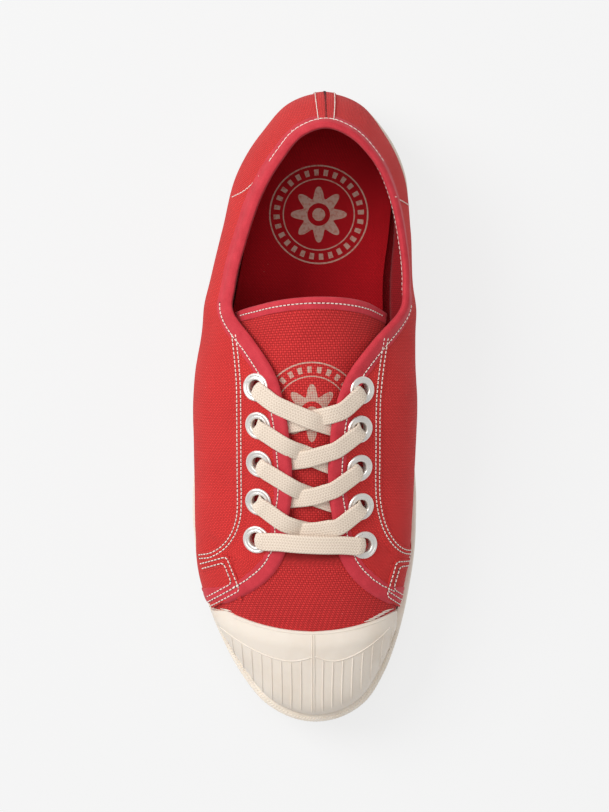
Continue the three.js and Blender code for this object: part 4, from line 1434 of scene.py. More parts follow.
    def tongue_binding(self, outer: Array, inner: Array) -> None:
        """Builds the tape over the tongue's free end, with its row of stitches.

        Args:
            outer: the tongue's outer face, its free end last.
            inner: its inner face.
        """
        back = unit(outer[-2] - outer[-1])
        along = unit(np.gradient(outer[-1], axis=0))
        up = unit(np.cross(along, -back))
        up = np.where(up[:, 2:] < 0, -up, up)
        lines = [np.stack([resample(outer[::-1, k], np.array([d])) [0] for k in range(outer.shape[1])])
                 for d in (4.2, 4.05, 2.6, 1.75, 0.9, 0.1)]
        rails = [line + up * lift for line, lift in zip(lines, (0.02, 0.42, 0.52, 0.38, 0.55, 0.42))]
        rails += [outer[-1] - back * 0.5 + up * 0.0, (outer[-1] + inner[-1]) / 2 - back * 0.62,
                  inner[-1] - back * 0.45]
        under = [np.stack([resample(inner[::-1, k], np.array([d]))[0] for k in range(inner.shape[1])])
                 for d in (0.1, 2.2, 4.1)]
        rails += [line - up * lift for line, lift in zip(under, (0.4, 0.45, 0.05))]
        p = np.stack(rails, 1)
        coords = cloth_coords(np.concatenate([p, p[:, :1]], 1))
        pattern = Pattern()
        pattern.grid(p, np.concatenate([coords, coords[-1:]], 0), 0, close_j=True)
        for k in (0, -1):
            pattern.grid(np.stack([p[k, :6], p[k, 6:][::-1]], 0))
        dress(pattern.build("tongue_binding", [self.finishes.tape], crease=60), "canvas", "tongue")
        row = (lines[3] + up * 0.4)[3:-3]
        self.sew("tongue_stitching", [(row, up[3:-3])])

    def sew(self, name: str, lines: Sequence[tuple[Array, Array]], kind: Repeat = STITCH,
            hole_shade: bool = True) -> None:
        """Sews rows of white stitches, with small dark pieces between them that paint the shade of the needle
        holes.

        Args:
            name: the piece's name.
            lines: points and normals of each row.
            kind: the sizes of the stitches.
            hole_shade: whether the painted shade of the needle holes is laid between the stitches.
        """
        parts = [self.repeats.stitches(name, lines, kind, self.finishes.thread)]
        # Painted shade: small dark pieces between the stitches stand for the shadow in the needle holes.
        if hole_shade:
            parts.append(self.repeats.stitches(f"{name}_holes", lines, NEEDLE_HOLE_SHADE, self.finishes.needle_shade))
        dress(self.repeats.piece(name, parts), "lace_cotton")

    def seam(self, side: Side, plan: Sequence[tuple[float, float]], lift: float, step: float = 0.8) -> tuple[
            Array, Array]:
        """A row over the face of a quarter.

        Args:
            side: the side of the shoe.
            plan: X and Y of points of the row.
            lift: how far above the face it lies.
            step: the distance between points of the result.

        Returns:
            Its points and normals.
        """
        s, v = surface_curve(side, plan)
        line = LAST.skin(s, v)
        length = np.concatenate([[0.0], np.cumsum(np.linalg.norm(np.diff(line, axis=0), axis=1))])
        at = np.arange(0.0, length[-1], step)
        s, v = np.interp(at, length, s), np.interp(at, length, v)
        normal = LAST.normal(s, v)
        return LAST.skin(s, v) + normal * lift, normal

    def welt(self, name: str, side: Side, plan: Sequence[tuple[float, float]], inward: float,
             outside: float = 1.15, layer: float = 0.55) -> None:
        """Builds the raised edge of a layer of canvas that is sewn on a quarter.

        Args:
            name: the piece's name.
            side: the side of the shoe.
            plan: X and Y of points of the row of stitches beside the edge.
            inward: 1 or -1, to put the layer on the left or the right of the line.
            outside: how far beyond the stitches the edge is.
            layer: the thickness of the layer.
        """
        s, v = surface_curve(side, plan, 10)
        edge = Edge(s, v, inward)
        shape = [(-outside, -0.3), (-outside, layer * 0.6), (0.2 - outside, layer), (0.0, layer * 0.92),
                 (1.6, layer * 0.75), (3.4, 0.16), (4.2, -0.12), (3.0, -0.4)]
        rails = []
        for distance, lift in shape:
            point, normal = edge.rail(distance, 0.0)
            rails.append(point + normal * lift)
        p = np.stack(rails, 1)
        coords = cloth_coords(np.concatenate([p, p[:, :1]], 1))
        pattern = Pattern()
        pattern.grid(p, np.concatenate([coords, coords[-1:]], 0), 0, close_j=True)
        for k in (0, -1):
            pattern.grid(np.stack([p[k, :4], p[k, 4:][::-1]], 0))
        dress(pattern.build(name, [self.finishes.quarter], crease=50), "canvas", "upper")

    def panels(self) -> None:
        """Builds the layers sewn on the quarters, and all their rows of stitches."""
        rows: list[tuple[Array, Array]] = []
        for side, sign in ((Side.OUTER, 1.0), (Side.INNER, -1.0)):
            facing, patch = FACINGS[side], PATCHES[side]
            tag = side.name.lower()
            self.welt(f"facing_{tag}", side, facing.points(), sign)
            self.welt(f"side_patch_{tag}", side, patch.edge(), -sign, 1.0)
            rows += [self.seam(side, plan, lift) for plan, lift in (
                (facing.points(), 0.5), (facing.points(FACING_ROW), 0.46), (patch.edge(), 0.55),
                (patch.inner_row(), 0.45), (patch.foot(), 0.7))]
        self.sew("panel_stitching", rows)

    def binding_stitches(self, edge: "Edge") -> None:
        """Sews the binding down.

        Args:
            edge: the bound edge.
        """
        point, normal = edge.rail(self.tape_seam, 0.42)
        y = point[:, 1]
        throat = [np.flatnonzero((y < 40) & (y > foot) & (edge.s * side.value < 0))
                  for side, foot in ((Side.OUTER, -72.6), (Side.INNER, -74.6))]
        self.sew("binding_stitching", [(point[k], normal[k]) for k in throat])
        rim = [k for k in range(len(y)) if y[k] > 38]
        inner_point = edge.point - edge.normal * (self.thickness(edge.s) + 0.55)[:, None] + edge.into * 2.6
        back = [k for k in rim if y[k] > 97]
        outer_point, outer_normal = edge.rail(3.2, 0.55)
        self.sew("collar_stitching",
                 [(inner_point[rim], -edge.normal[rim]), (outer_point[back], outer_normal[back])],
                 LONG_STITCH, hole_shade=False)

    def heel(self) -> None:
        """Builds the heel's back strip and counter seams."""
        v = np.linspace(0.02, 0.93, 40)
        rails = []
        for x, lift in ((-4.3, -0.3), (-4.25, 0.35), (-3.9, 0.5), (-1.3, 0.5), (0, 0.62), (1.3, 0.5),
                        (3.9, 0.5),
                        (4.25, 0.35), (4.3, -0.3)):
            station = x / 14.2 * np.ones_like(v) + 0.0
            rails.append(LAST.offset(station, v, lift))
        p = np.stack(rails, 1)
        inner = LAST.offset(np.broadcast_to(np.linspace(-4.3, 4.3, 9) / 14.2, (40, 9)),
                            v[:, None] * np.ones((1, 9)), -0.4)
        piece = shell(p, inner, cloth_coords(p), (0, 0)).build("back_strip", [self.finishes.quarter])
        dress(piece, "canvas", "upper")
        rows = []
        for x in (-3.6, 3.6):
            station = np.full(40, x / 14.2)
            rows.append((LAST.offset(station, v, 0.6), LAST.normal(station, v)))
        for side in Side:
            rows.append(self.seam(side, COUNTERS[side].points(), 0.12))
        self.sew("heel_stitching", rows, LONG_STITCH, hole_shade=False)
        zig = 0.35 * np.where(np.arange(56) % 2, 1.0, -1.0)
        tall = np.linspace(0.05, 0.93, 56)
        station = zig / 14.2
        centre = (LAST.offset(station, tall, 0.66), LAST.normal(station, tall))
        # The dark zigzag down the back strip is drawn in the needle holes' painted-shade material.
        line = self.repeats.raised("back_zigzag", [centre], 0.13, self.finishes.needle_shade)
        dress(self.repeats.piece("back_zigzag", [line]), "canvas")


@dataclass(frozen=True)
class Facing:
    """The edge of the eyelet facing: straight beside the eyelets, then turned outwards in an arc.

    The upper end leans outwards by `lean`, from `lean_from` up to `top`. The arc begins at the Y `turn` and
    ends at `out`.
    """

    top: float
    beside: float
    lean: float
    lean_from: float
    turn: float
    out: tuple[float, float]

    def points(self, row: float = 0.0) -> Array:
        """The line in plan.

        Args:
            row: how far nearer to the eyelets than the edge it runs.

        Returns:
            Its points, from the ankle to the foxing.
        """
        outward = np.sign(self.beside)
        y = np.linspace(self.top, self.turn, 7, endpoint=False)
        lean = self.lean * np.clip((y - self.lean_from) / (self.top - self.lean_from), 0.0, 1.0) ** 1.5
        straight = np.column_stack([self.beside + outward * (lean - row), y])
        angle = np.linspace(0, np.pi / 2, 7)
        across = abs(self.beside - self.out[0]) + row
        down = self.turn - self.out[1] + row
        arc = np.column_stack([self.out[0] - outward * across * np.cos(angle),
                               self.turn - down * np.sin(angle)])
        return np.concatenate([straight, arc])


@dataclass(frozen=True)
class SidePatch:
    """The small patch sewn on beside the toe cap, with rounded corners.

    Its corners are in plan: the far and near end of its top edge, then the near and far end of its foot.
    """

    far_top: tuple[float, float]
    near_top: tuple[float, float]
    near_foot: tuple[float, float]
    far_foot: tuple[float, float]
    row: float = 2.0
    foot_row: float = 4.0
    foot_seam: float = 2.0
    radius: float = 1.6

    def _corners(self) -> list[Array]:
        """Returns the four corners as vectors."""
        return [np.array(c, float) for c in (self.far_top, self.near_top, self.near_foot, self.far_foot)]

    def _rounded(self, corners: Sequence[Array]) -> Array:
        """Returns the line through the corners, with the inner ones rounded."""
        line = [corners[0]]
        for before, here, after in zip(corners, corners[1:], corners[2:]):
            enter = here + unit(before - here) * self.radius
            leave = here + unit(after - here) * self.radius
            line += [enter * (1 - t) ** 2 + 2 * here * t * (1 - t) + leave * t**2
                     for t in (0.0, 0.33, 0.67, 1.0)]
        return np.array([*line, corners[-1]])

    def edge(self) -> Array:
        """Returns the patch's edge."""
        return self._rounded(self._corners())

    def inner_row(self) -> Array:
        """Returns the row of stitches inside the edge."""
        far_top, near_top, near_foot, far_foot = self._corners()
        along, top, foot = unit(near_foot - near_top), unit(far_top - near_top), unit(far_foot - near_foot)
        return self._rounded([
            far_top + along * self.row, near_top + (along + top) * self.row,
            near_foot - along * self.foot_row + foot * self.row, far_foot - along * self.foot_row])

    def foot(self) -> Array:
        """Returns the seam across the patch's foot."""
        _, near_top, near_foot, far_foot = self._corners()
        back = unit(near_top - near_foot) * self.foot_seam
        return np.linspace(far_foot + back, near_foot + back, 3)


# The seams of each quarter, in plan.
FACING_ROW = 1.5
FACINGS = {
    Side.OUTER: Facing(27.3, -27.3, 1.9, 4, -40, (-42.6, -60)),
    Side.INNER: Facing(26, 28.6, 3, -2, -32, (42, -58.5)),
}
PATCHES = {
    Side.OUTER: SidePatch((-42, -63.5), (-31.8, -60.4), (-26.6, -73.8), (-38.2, -80.5)),
    Side.INNER: SidePatch((41, -62.6), (35.6, -62.6), (31.7, -76.2), (37.2, -80.2)),
}
COUNTERS = {
    Side.OUTER: Sweep((1, 112.6), (-10, 110), (-16, 86), (-29.6, 83)),
    Side.INNER: Sweep((34.8, 82), (37, 81.5), (39, 80.8), (40.6, 80)),
}

# Creases of the canvas in plan: from, to, half width and depth (a trough where negative).
CREASES = (
    (-41, -52, -30, -62, 2.2, -0.45), (-38, -50, -24, -62, 1.8, 0.3), (-24, -58, -17, -68, 1.6, -0.35),
    (-27, -60, -20, -71, 1.5, 0.25), (36, -54, 27, -66, 2.0, -0.35), (-44, 20, -36, 40, 4.0, -0.8),
    (-43, -5, -36, 12, 5.0, 0.5), (42, 10, 36, 34, 4.0, -0.6), (20, -96, 2, -78, 7.0, -0.3),
    (-30, -80, -8, -72, 5.0, 0.35), (-36, -20, -28, -44, 3.5, -0.35), (-12, 14, 2, 34, 5.0, 0.5),
    (22, 30, 14, 10, 4.0, -0.5), (30, 96, 38, 74, 4.0, -0.7), (-14, 108, -22, 96, 4.0, 0.6),
)


# ------------------------------------------------------------------------------------------ rubber
@dataclass(frozen=True)
class Lobe:
    """A curved line at the top of the cap's ribs: it dips beside the middle and climbs to the side."""

    low: float
    start: float
    end: float
    dip: float = -101.8
    climb: float = 13.4

    def height(self, x: float) -> float:
        """Returns the line's Y at X, held beyond its side end."""
        out = min(abs(x - self.low) / abs(self.end - self.low), 1.0)
        return self.dip + self.climb * out**1.7

    def points(self) -> Array:
        """Returns the line's points in plan, from the middle to the side."""
        return np.array([(x, self.height(x)) for x in np.linspace(self.start, self.end, 11)])


@dataclass
class RubberParts:
    """The toe cap, the foxing round the sole and the outsole."""

    finishes: Finishes
    repeats: Repeats
    edge_y: float = -90.4
    edge_middle: float = 2.0
    edge_half: float = 39.0
    edge_sweep: float = 10.0
    cap_proud: float = 1.5
    cap_edge: float = -0.25
    lobes: tuple[Lobe, ...] = (Lobe(-6.0, 2.3, -33.6), Lobe(10.4, 2.9, 32.8))
    ribs_middle: float = 2.1
    rib_first: float = 4.4
    rib_pitch: float = 3.85
    rib_count: int = 8
    rib_taper: float = 0.945
    rib_foot: float = -122.3
    rib_reach: float = 30.5
    rib_climb: tuple[float, float] = (22.0, 25.5)

    def cap_limit(self, x: Array) -> Array:
        """Returns the Y of the cap's top edge at each X."""
        return self.edge_y + self.edge_sweep * ((x - self.edge_middle) / self.edge_half) ** 2

    def cap_lift(self, p: Array) -> Array:
        """Returns how far the cap stands above the canvas's face, thin at its top edge."""
        inside = self.cap_limit(p[..., 0]) - p[..., 1]
        return self.cap_edge + (self.cap_proud - self.cap_edge) * smoothstep(inside / 7.0 + 0.06) ** 0.8

    def cap_top(self, s: Array) -> Array:
        """Returns the height v at which the rib at each station reaches the cap's top edge."""
        v = np.linspace(0, 1, 400)
        p = LAST.skin(s[:, None], v[None, :])
        beyond = p[..., 1] > self.cap_limit(p[..., 0])
        first = np.where(beyond.any(1), beyond.argmax(1), len(v) - 1)
        return v[first]

    def toe_cap(self) -> bpy.types.Object:
        """Builds the toe cap, a rubber shell over the toe that thins out at its top edge."""
        fine = np.concatenate([np.linspace(15.42, 15.95, 46, endpoint=False), np.linspace(15.95, TOE, 74)])
        s = np.concatenate([fine, (AROUND - fine)[-2::-1]])
        top = self.cap_top(s)
        share = np.linspace(0, 1, 52)
        v = top[:, None] * share[None, :]
        stations = np.broadcast_to(s[:, None], v.shape)
        face, normal = LAST.skin(stations, v), LAST.normal(stations, v)
        outer = face + normal * self.cap_lift(face)[..., None]
        inner = face - normal * 0.85
        outer[:, 0, 2] += 0.15
        on_ridge = (top > 0.9999) & (LAST.row(s) > FIRST_CLOSED)
        pattern = shell(outer, inner, cloth_coords(face), (0, 0), seam=on_ridge[1:] & on_ridge[:-1])
        piece = pattern.build("toe_cap", [self.finishes.cap])
        return dress(piece, "trim_rubber", "toe_cap")

    def on_cap(self, plan: Sequence[tuple[float, float]], lift: float, step: float = 0.7) -> tuple[Array,
            Array]:
        """A line on the face of the toe cap.

        Args:
            plan: X and Y of its points.
            lift: how far above the face it lies.
            step: the distance between points of the result.

        Returns:
            Its points and normals.
        """
        dense = curve_through(plan, 6)
        length = np.concatenate([[0.0], np.cumsum(np.linalg.norm(np.diff(dense, axis=0), axis=1))])
        dense = resample(dense, np.arange(0, length[-1] + step / 2, step))
        s, v = np.empty(len(dense)), np.empty(len(dense))
        for side, mine in ((Side.OUTER, dense[:, 0] < 2.6), (Side.INNER, dense[:, 0] >= 2.6)):
            if mine.any():
                s[mine], v[mine] = LAST.locate(side, dense[mine], 18.0)
        face, normal = LAST.skin(s, v), LAST.normal(s, v)
        return face + normal * (self.cap_lift(face) + lift)[:, None], normal

    def rib(self, lobe: Lobe, climb: float, number: int) -> Array:
        """A rib of the cap, from a lobe's line down to the foot, where the ribs draw a little together.

        Args:
            lobe: the line that it hangs from.
            climb: how far its foot would stand above the tip's at the side of the cap.
            number: which it is, counted out from the middle.

        Returns:
            Its three points in plan.
        """
        outward = np.sign(lobe.end - self.ribs_middle)
        x = self.ribs_middle + outward * (self.rib_first + self.rib_pitch * number)
        foot_x = self.ribs_middle + (x - self.ribs_middle) * self.rib_taper
        foot_y = self.rib_foot + climb * (abs(foot_x - self.ribs_middle) / self.rib_reach) ** 2.3
        top_y = lobe.height(x)
        return np.array([(x, top_y - 0.2), ((x + foot_x) / 2, (top_y + foot_y) / 2), (foot_x, foot_y)])

    def cap_relief(self) -> None:
        """Builds the toe cap's moulded lines: its lobes, middle lines, ribs and frayed edge."""
        lines = [self.on_cap(lobe.points(), 0.0) for lobe in self.lobes]
        lines += [self.on_cap(((x, -91.4), (x, -100), (x, -110), (x + 0.1, -122.6)), 0.0)
                  for x in (2.15, 3.0)]
        lip = [(x, float(self.cap_limit(np.array(x))) - 0.9) for x in np.linspace(-30, 33, 22)]
        lines.append(self.on_cap(lip, -0.12))
        ribs = [self.on_cap(self.rib(lobe, climb, n), -0.02)
                for lobe, climb in zip(self.lobes, self.rib_climb) for n in range(self.rib_count)]
        fray = []
        for side, start, step, count in FRAYS:
            reach = -FRAY_REACH * side.value
            for x, y in np.array(start) + np.arange(count)[:, None] * np.array(step):
                s, v = LAST.locate(side, np.array([(x, y), (x + reach / 2, y - 0.4), (x + reach, y - 0.9)]))
                fray.append((LAST.offset(s, v, -0.6), LAST.normal(s, v)))
        cap, repeats = self.finishes.cap, self.repeats
        parts = [repeats.raised("cap_lines", lines, 0.3, cap),
                 repeats.raised("cap_ribs", ribs, 0.36, cap, 0.05),
                 repeats.raised("cap_fray", fray, 0.3, cap, 0.4)]
        dress(repeats.piece("toe_cap_relief", parts), "trim_rubber", "toe_cap")

    def knurl(self) -> None:
        """Builds the knurled band on the foxing's top edge round the toe."""
        s = np.linspace(15.7, AROUND - 15.9, 260)
        out = LAST.outline(s)[1]
        lines = []
        for inset, height in ((0.25, -0.75), (1.25, 0.02)):
            point, _ = LAST.outline(s, inset)
            up = unit(np.column_stack([out * (1.2 - inset), np.full(len(s), 0.2 + inset)]))
            lines.append((np.column_stack([point, LAST.value("fox_top", s) + height]), up))
        mesh = self.repeats.stitches("toe_knurl", lines, KNURL, self.finishes.foxing)
        dress(self.repeats.piece("toe_knurl", [mesh]), "trim_rubber", "foxing")

    def foxing(self) -> bpy.types.Object:
        """Builds the foxing, a rubber band round the sole with a moulded line near top and foot."""
        s = np.linspace(0, AROUND, 480, endpoint=False)
        wall, top = LAST.value("fox_wall", s), LAST.value("fox_top", s)
        foot = sole_bottom(LAST.value("y", s)) + 0.6
        from_foot = ((0.9, 0.0), (0.35, 0.5), (0.0, 1.6), (0.0, 3.4), (0.35, 3.6), (0.35, 4.2), (0.0, 4.4))
        from_top = ((0.0, -4.2), (0.3, -4.0), (0.3, -3.6), (0.0, -3.4), (0.0, -1.2), (0.25, -0.4), (0.8, 0.0))
        rails = []
        inside = ((wall, 0.0),)
        for level, shape in ((foot, from_foot), (top, from_top), (top, inside), (foot, inside)):
            for inset, height in shape:
                rails.append(np.column_stack([LAST.outline(s, inset)[0], level + height]))
        p = np.stack(rails, 1)
        pattern = Pattern()
        pattern.grid(p, None, 0, close_i=True, close_j=True)
        piece = pattern.build("foxing_band", [self.finishes.foxing], crease=50)
        return dress(piece, "trim_rubber", "foxing")


# Frayed specks of rubber on the canvas at the cap's corners, stacked in a slant: the side, X and Y of the
# first, the step to the next and their count.
FRAYS = ((Side.OUTER, (-35.0, -81.8), (1.0, -0.95), 5), (Side.INNER, (35.4, -82.0), (-1.9, -0.95), 5))
FRAY_REACH = 4.6


# ------------------------------------------------------------------------------------------ insole
@dataclass
class Insole:
    """The cloth-covered foam insole with a printed emblem."""

    finishes: Finishes
    thick: float = 3.2
    cup: float = 1.4
    waist_gap: float = 2.4

    def build(self) -> bpy.types.Object:
        """Returns the insole."""
        rows = np.linspace(0.06, TOE - 0.06, 150)
        across = np.linspace(0, 1, 40)
        y = LAST.value("y", rows)
        inset = LAST.value("fox_wall", rows) + GAP + 2.6
        waist = self.waist_gap * smoothstep(1 - np.abs(y - 46) / 60)
        outer, _ = LAST.outline(rows, inset)
        inner, _ = LAST.outline(AROUND - rows, inset + waist)
        plan = outer[:, None] * (1 - across)[None, :, None] + inner[:, None] * across[None, :, None]
        floor = sole_top(plan[..., 1]) + GAP
        side = 2 * across - 1
        rise = self.thick + self.cup * side[None, :] ** 4 * smoothstep((plan[..., 1] + 60) / 120)
        soft = 0.5 * smoothstep((np.abs(side) - 0.9) * 10)
        top = np.concatenate([plan, (floor + rise - soft[None, :])[..., None]], -1)
        base = np.concatenate([plan, floor[..., None]], -1)
        piece = shell(top, base, cloth_coords(top), (0, 0)).build("insole", [self.finishes.insole])
        self.board(rows, across)
        return dress(piece, "insole_cloth", "insole")

    def board(self, rows: Array, across: Array) -> None:
        """Builds the lasting board under the insole, out to the walls, in the darker lining canvas that
        paints the shade in the gap beside the insole.

        Args:
            rows: sections along the shoe.
            across: shares of the width.
        """
        inset = LAST.value("fox_wall", rows) + GAP + 2.02
        outer, inner = LAST.outline(rows, inset)[0], LAST.outline(AROUND - rows, inset)[0]
        plan = outer[:, None] * (1 - across)[None, :, None] + inner[:, None] * across[None, :, None]
        floor = sole_top(plan[..., 1])[..., None]
        top, base = (np.concatenate([plan, floor + lift], -1) for lift in (GAP - 0.03, 0.03))
        # Partly a real board, partly painted shade: its dark lining canvas darkens the gap between insole and
        # wall.
        piece = shell(top, base, cloth_coords(top), (0, 0)).build("lasting_board", [self.finishes.shaded_lining])
        dress(piece, "insole_cloth")


# ------------------------------------------------------------------------------------------ eyelets and lace
@dataclass
class Seat:
    """Where an eyelet sits: its middle on the face, its normal and two directions in the face."""

    side: Side
    s: float
    v: float

    def __post_init__(self) -> None:
        """Works out the seat's frame."""
        self.middle = LAST.skin(np.array(self.s), np.array(self.v))
        self.normal = LAST.normal(np.array(self.s), np.array(self.v))
        self.inward = unit(np.cross(np.array([0.0, 1.0, 0.0]), self.normal)) * -self.side.value
        self.forward = unit(np.cross(self.normal, self.inward))


@dataclass(frozen=True)
class EyeletRow:
    """Five eyelets down one edge of the throat, evenly spaced and bowed towards its middle."""

    side: Side
    first: float
    pitch: float
    x: float
    bow: float
    nearest: float

    def places(self) -> Array:
        """Returns X and Y of each eyelet, from the ankle down."""
        n = np.arange(5)
        return np.column_stack([self.x + self.bow * (n - self.nearest) ** 2, self.first - self.pitch * n])


@dataclass
class Eyelets:
    """Ten flanged metal rings."""

    finishes: Finishes
    rows: tuple[EyeletRow, ...] = (
        EyeletRow(Side.OUTER, 7.0, 15.1, -18.8, -0.3, 2.0),
        EyeletRow(Side.INNER, 5.8, 15.35, 20.7, 0.35, 1.6))
    # radius and height of the ring's profile, from the barrel's foot over the rolled flange
    profile: tuple[tuple[float, float], ...] = (
        (2.85, -2.4), (2.8, -0.2), (2.85, 0.35), (3.1, 0.7), (3.45, 0.86), (3.8, 0.8), (4.1, 0.68),
        (4.3, 0.66),
        (4.55, 0.78), (4.9, 0.86), (5.25, 0.76), (5.5, 0.5), (5.6, 0.22), (5.5, 0.06), (3.3, 0.0),
        (3.25, -2.4))

    def seats(self) -> dict[Side, list[Seat]]:
        """Returns the seats of each side, from the ankle down."""
        found = {}
        for row in self.rows:
            s, v = LAST.locate(row.side, row.places())
            found[row.side] = [Seat(row.side, float(a), float(b)) for a, b in zip(s, v)]
        return found

    def build(self) -> list[bpy.types.Object]:
        """Returns the ten rings."""
        turn = np.linspace(0, 2 * np.pi, 48, endpoint=False)
        rings = []
        for side, seats in self.seats().items():
            for number, seat in enumerate(seats, 1):
                spoke = np.cos(turn)[:, None] * seat.inward + np.sin(turn)[:, None] * seat.forward
                radius, height = np.array(self.profile).T
                p = seat.middle + spoke[:, None] * radius[None, :, None] + (height + 0.1)[None, :,
                        None] * seat.normal
                pattern = Pattern()
                pattern.grid(p, None, 0, close_i=True, close_j=True)
                name = f"eyelet_{side.name.lower()}_{number}"
                ring = pattern.build(f"{name}_ring", [self.finishes.metal], crease=35)
                rings.append(dress(ring, "eyelet_metal", name))
        return rings


@dataclass
class Lace:
    """One flat cotton lace that comes up through each eyelet and dives under the facing throat edge."""

    finishes: Finishes
    seats: dict[Side, list[Seat]]
    width: float = 7.3
    thick: float = 1.3

    def build(self) -> bpy.types.Object:
        """Returns the lace, a strip from the top outer eyelet down to the bar and up to the inner one."""
        outer, inner = self.seats[Side.OUTER], self.seats[Side.INNER]
        down, up = [], []
        for k in range(4):
            first, second = (down, up) if k % 2 == 0 else (up, down)
            first += self.strand(outer[k], inner[k + 1], 1.0 if k == 0 else 0.0)
            second += self.strand(inner[k], outer[k + 1], 0.0 if k == 0 else 1.0)
        path = down + self.bar(outer[4], inner[4]) + up[::-1]
        pattern = Pattern()
        self.sweep(path, pattern)
        piece = pattern.build("lace", [self.finishes.lace], crease=70)
        nodes = [f"lace_cross_{k}" for k in range(1, 5)] + ["lace_bar"]
        return dress(piece, "lace_cotton", *nodes)

    def rise(self, seat: Seat, heading: Array) -> list[Array]:
        """The lace as it comes up through an eyelet and lies down over its flange.

        Args:
            seat: the eyelet.
            heading: the direction it leaves in, in the face.

        Returns:
            Rows of place, width share, hollow and the strip's direction across.
        """
        across = np.cross(seat.normal, heading)
        path = ((-3.3, 1.0, 0.7, 0.5), (-1.6, 0.1, 0.7, 0.6), (0.3, -0.1, 0.76, 0.5), (1.6, 0.7, 0.86, 0.3),
                (2.15, 2.5, 0.95, 0.1), (1.95, 4.6, 1.0, 0.0))
        return [np.concatenate([seat.middle + seat.normal * up + heading * out, [share, hollow], across])
                for up, out, share, hollow in path]

    @staticmethod
    def row_point(row: float, x: float, drop: float) -> tuple[Array, Array]:
        """Finds a place over the tongue.

        Args:
            row: the section of the shoe.
            x: how far across.
            drop: how far below the upper's outer face.

        Returns:
            The point and the normal there.
        """
        places = []
        for r in (row, row + 0.15):
            line, _ = LAST.arch(r, drop)
            places.append([np.array([q, np.interp(q, line[:, 0], line[:, 1]),
                                     np.interp(q, line[:, 0], line[:, 2])])
                           for q in (x - 0.5, x + 0.5)])
        (a, b), (c, _) = places
        normal = unit(np.cross(a - c, b - a))
        return (a + b) / 2, normal * np.sign(normal[2])

    def strand(self, near: Seat, far: Seat, over: float) -> list[Array]:
        """A strand from one eyelet, over the throat's edge and the tongue, to the underside of the far edge.

        Args:
            near: the eyelet it comes up through.
            far: the eyelet it goes on to.
            over: 1 where it crosses above the other strand, 0 where it runs below.

        Returns:
            Rows of place, width share, hollow and the strip's direction across.
        """
        start, end = float(LAST.row(near.s)), float(LAST.row(far.s))
        fall = end - start
        last = self.seats[far.side][4].s == far.s
        share = 0.37 if near.side is Side.OUTER else 0.53
        stop = 0.8 if last else 0.97
        near_s = (start + fall * share) * (1 if near.side is Side.OUTER else -1)
        edge = LAST.offset(np.array(near_s), np.array(0.975), 1.35)
        flat = unit(edge - near.middle)
        heading = unit(flat - near.normal * (flat @ near.normal))
        points = self.rise(near, heading)
        normal = LAST.normal(np.array(near_s), np.array(0.97))
        far_s = (start + fall * stop) * (1 if far.side is Side.OUTER else -1)
        hem = LAST.offset(np.array(far_s), np.array(0.97), -3.05)
        track = [(edge, normal)]
        under, high = (3.3, 0.8, 0.2, 0.2), (3.5, 2.5, 2.0, 0.9)
        lifts = [(f, low + (top - low) * over) for f, low, top in zip((0.2, 0.4, 0.6, 0.8), under, high)]
        for f, lift in lifts:
            bend = f + (0.3 if near.side is Side.OUTER else 0.55) * f * (1 - f)
            row = start + fall * (share + (stop - share) * bend)
            x = edge[0] * (1 - f) + hem[0] * f
            track.append(self.row_point(row, x, 4.1 - self.thick / 2 - lift))
        track.append((hem, LAST.normal(np.array(far_s), np.array(0.97))))
        under_s = (start + fall * (stop + 0.02)) * (1 if far.side is Side.OUTER else -1)
        track.append((LAST.offset(np.array(under_s), np.array(0.9), -3.1), far.normal))
        track.append((far.middle - far.normal * 3.15 + far.inward * 3.6, far.normal))
        places = [near.middle + heading * 4.6] + [p for p, _ in track]
        for k, (place, normal) in enumerate(track):
            ahead = places[min(k + 2, len(places) - 1)] - places[k]
            across = unit(np.cross(normal, ahead))
            narrow = 0.82 if k == len(track) - 1 else 1.0
            points.append(np.concatenate([place, [narrow, 0.0], across]))
        return points

    def bar(self, outer: Seat, inner: Seat) -> list[Array]:
        """The straight bar between the two lowest eyelets.

        Args:
            outer: the eyelet on the outer side.
            inner: the eyelet on the inner side.

        Returns:
            Rows of place, width share, hollow and the strip's direction across.
        """
        reach = unit(inner.middle - outer.middle)
        a = self.rise(outer, unit(reach - outer.normal * (reach @ outer.normal)))
        b = self.rise(inner, unit(-reach + inner.normal * (reach @ inner.normal)))
        between = []
        for t in (0.14, 0.32, 0.5, 0.68, 0.86):
            ease = 4 * t * (1 - t)
            place = a[-1][:3] * (1 - t) + b[-1][:3] * t + np.array([0.0, 0.5 - 0.7 * ease, 3.5 * ease])
            normal = unit(outer.normal * (1 - t) + inner.normal * t)
            between.append(np.concatenate([place, [1.0, 0.0], np.cross(normal, reach)]))
        return a + between + b[::-1]

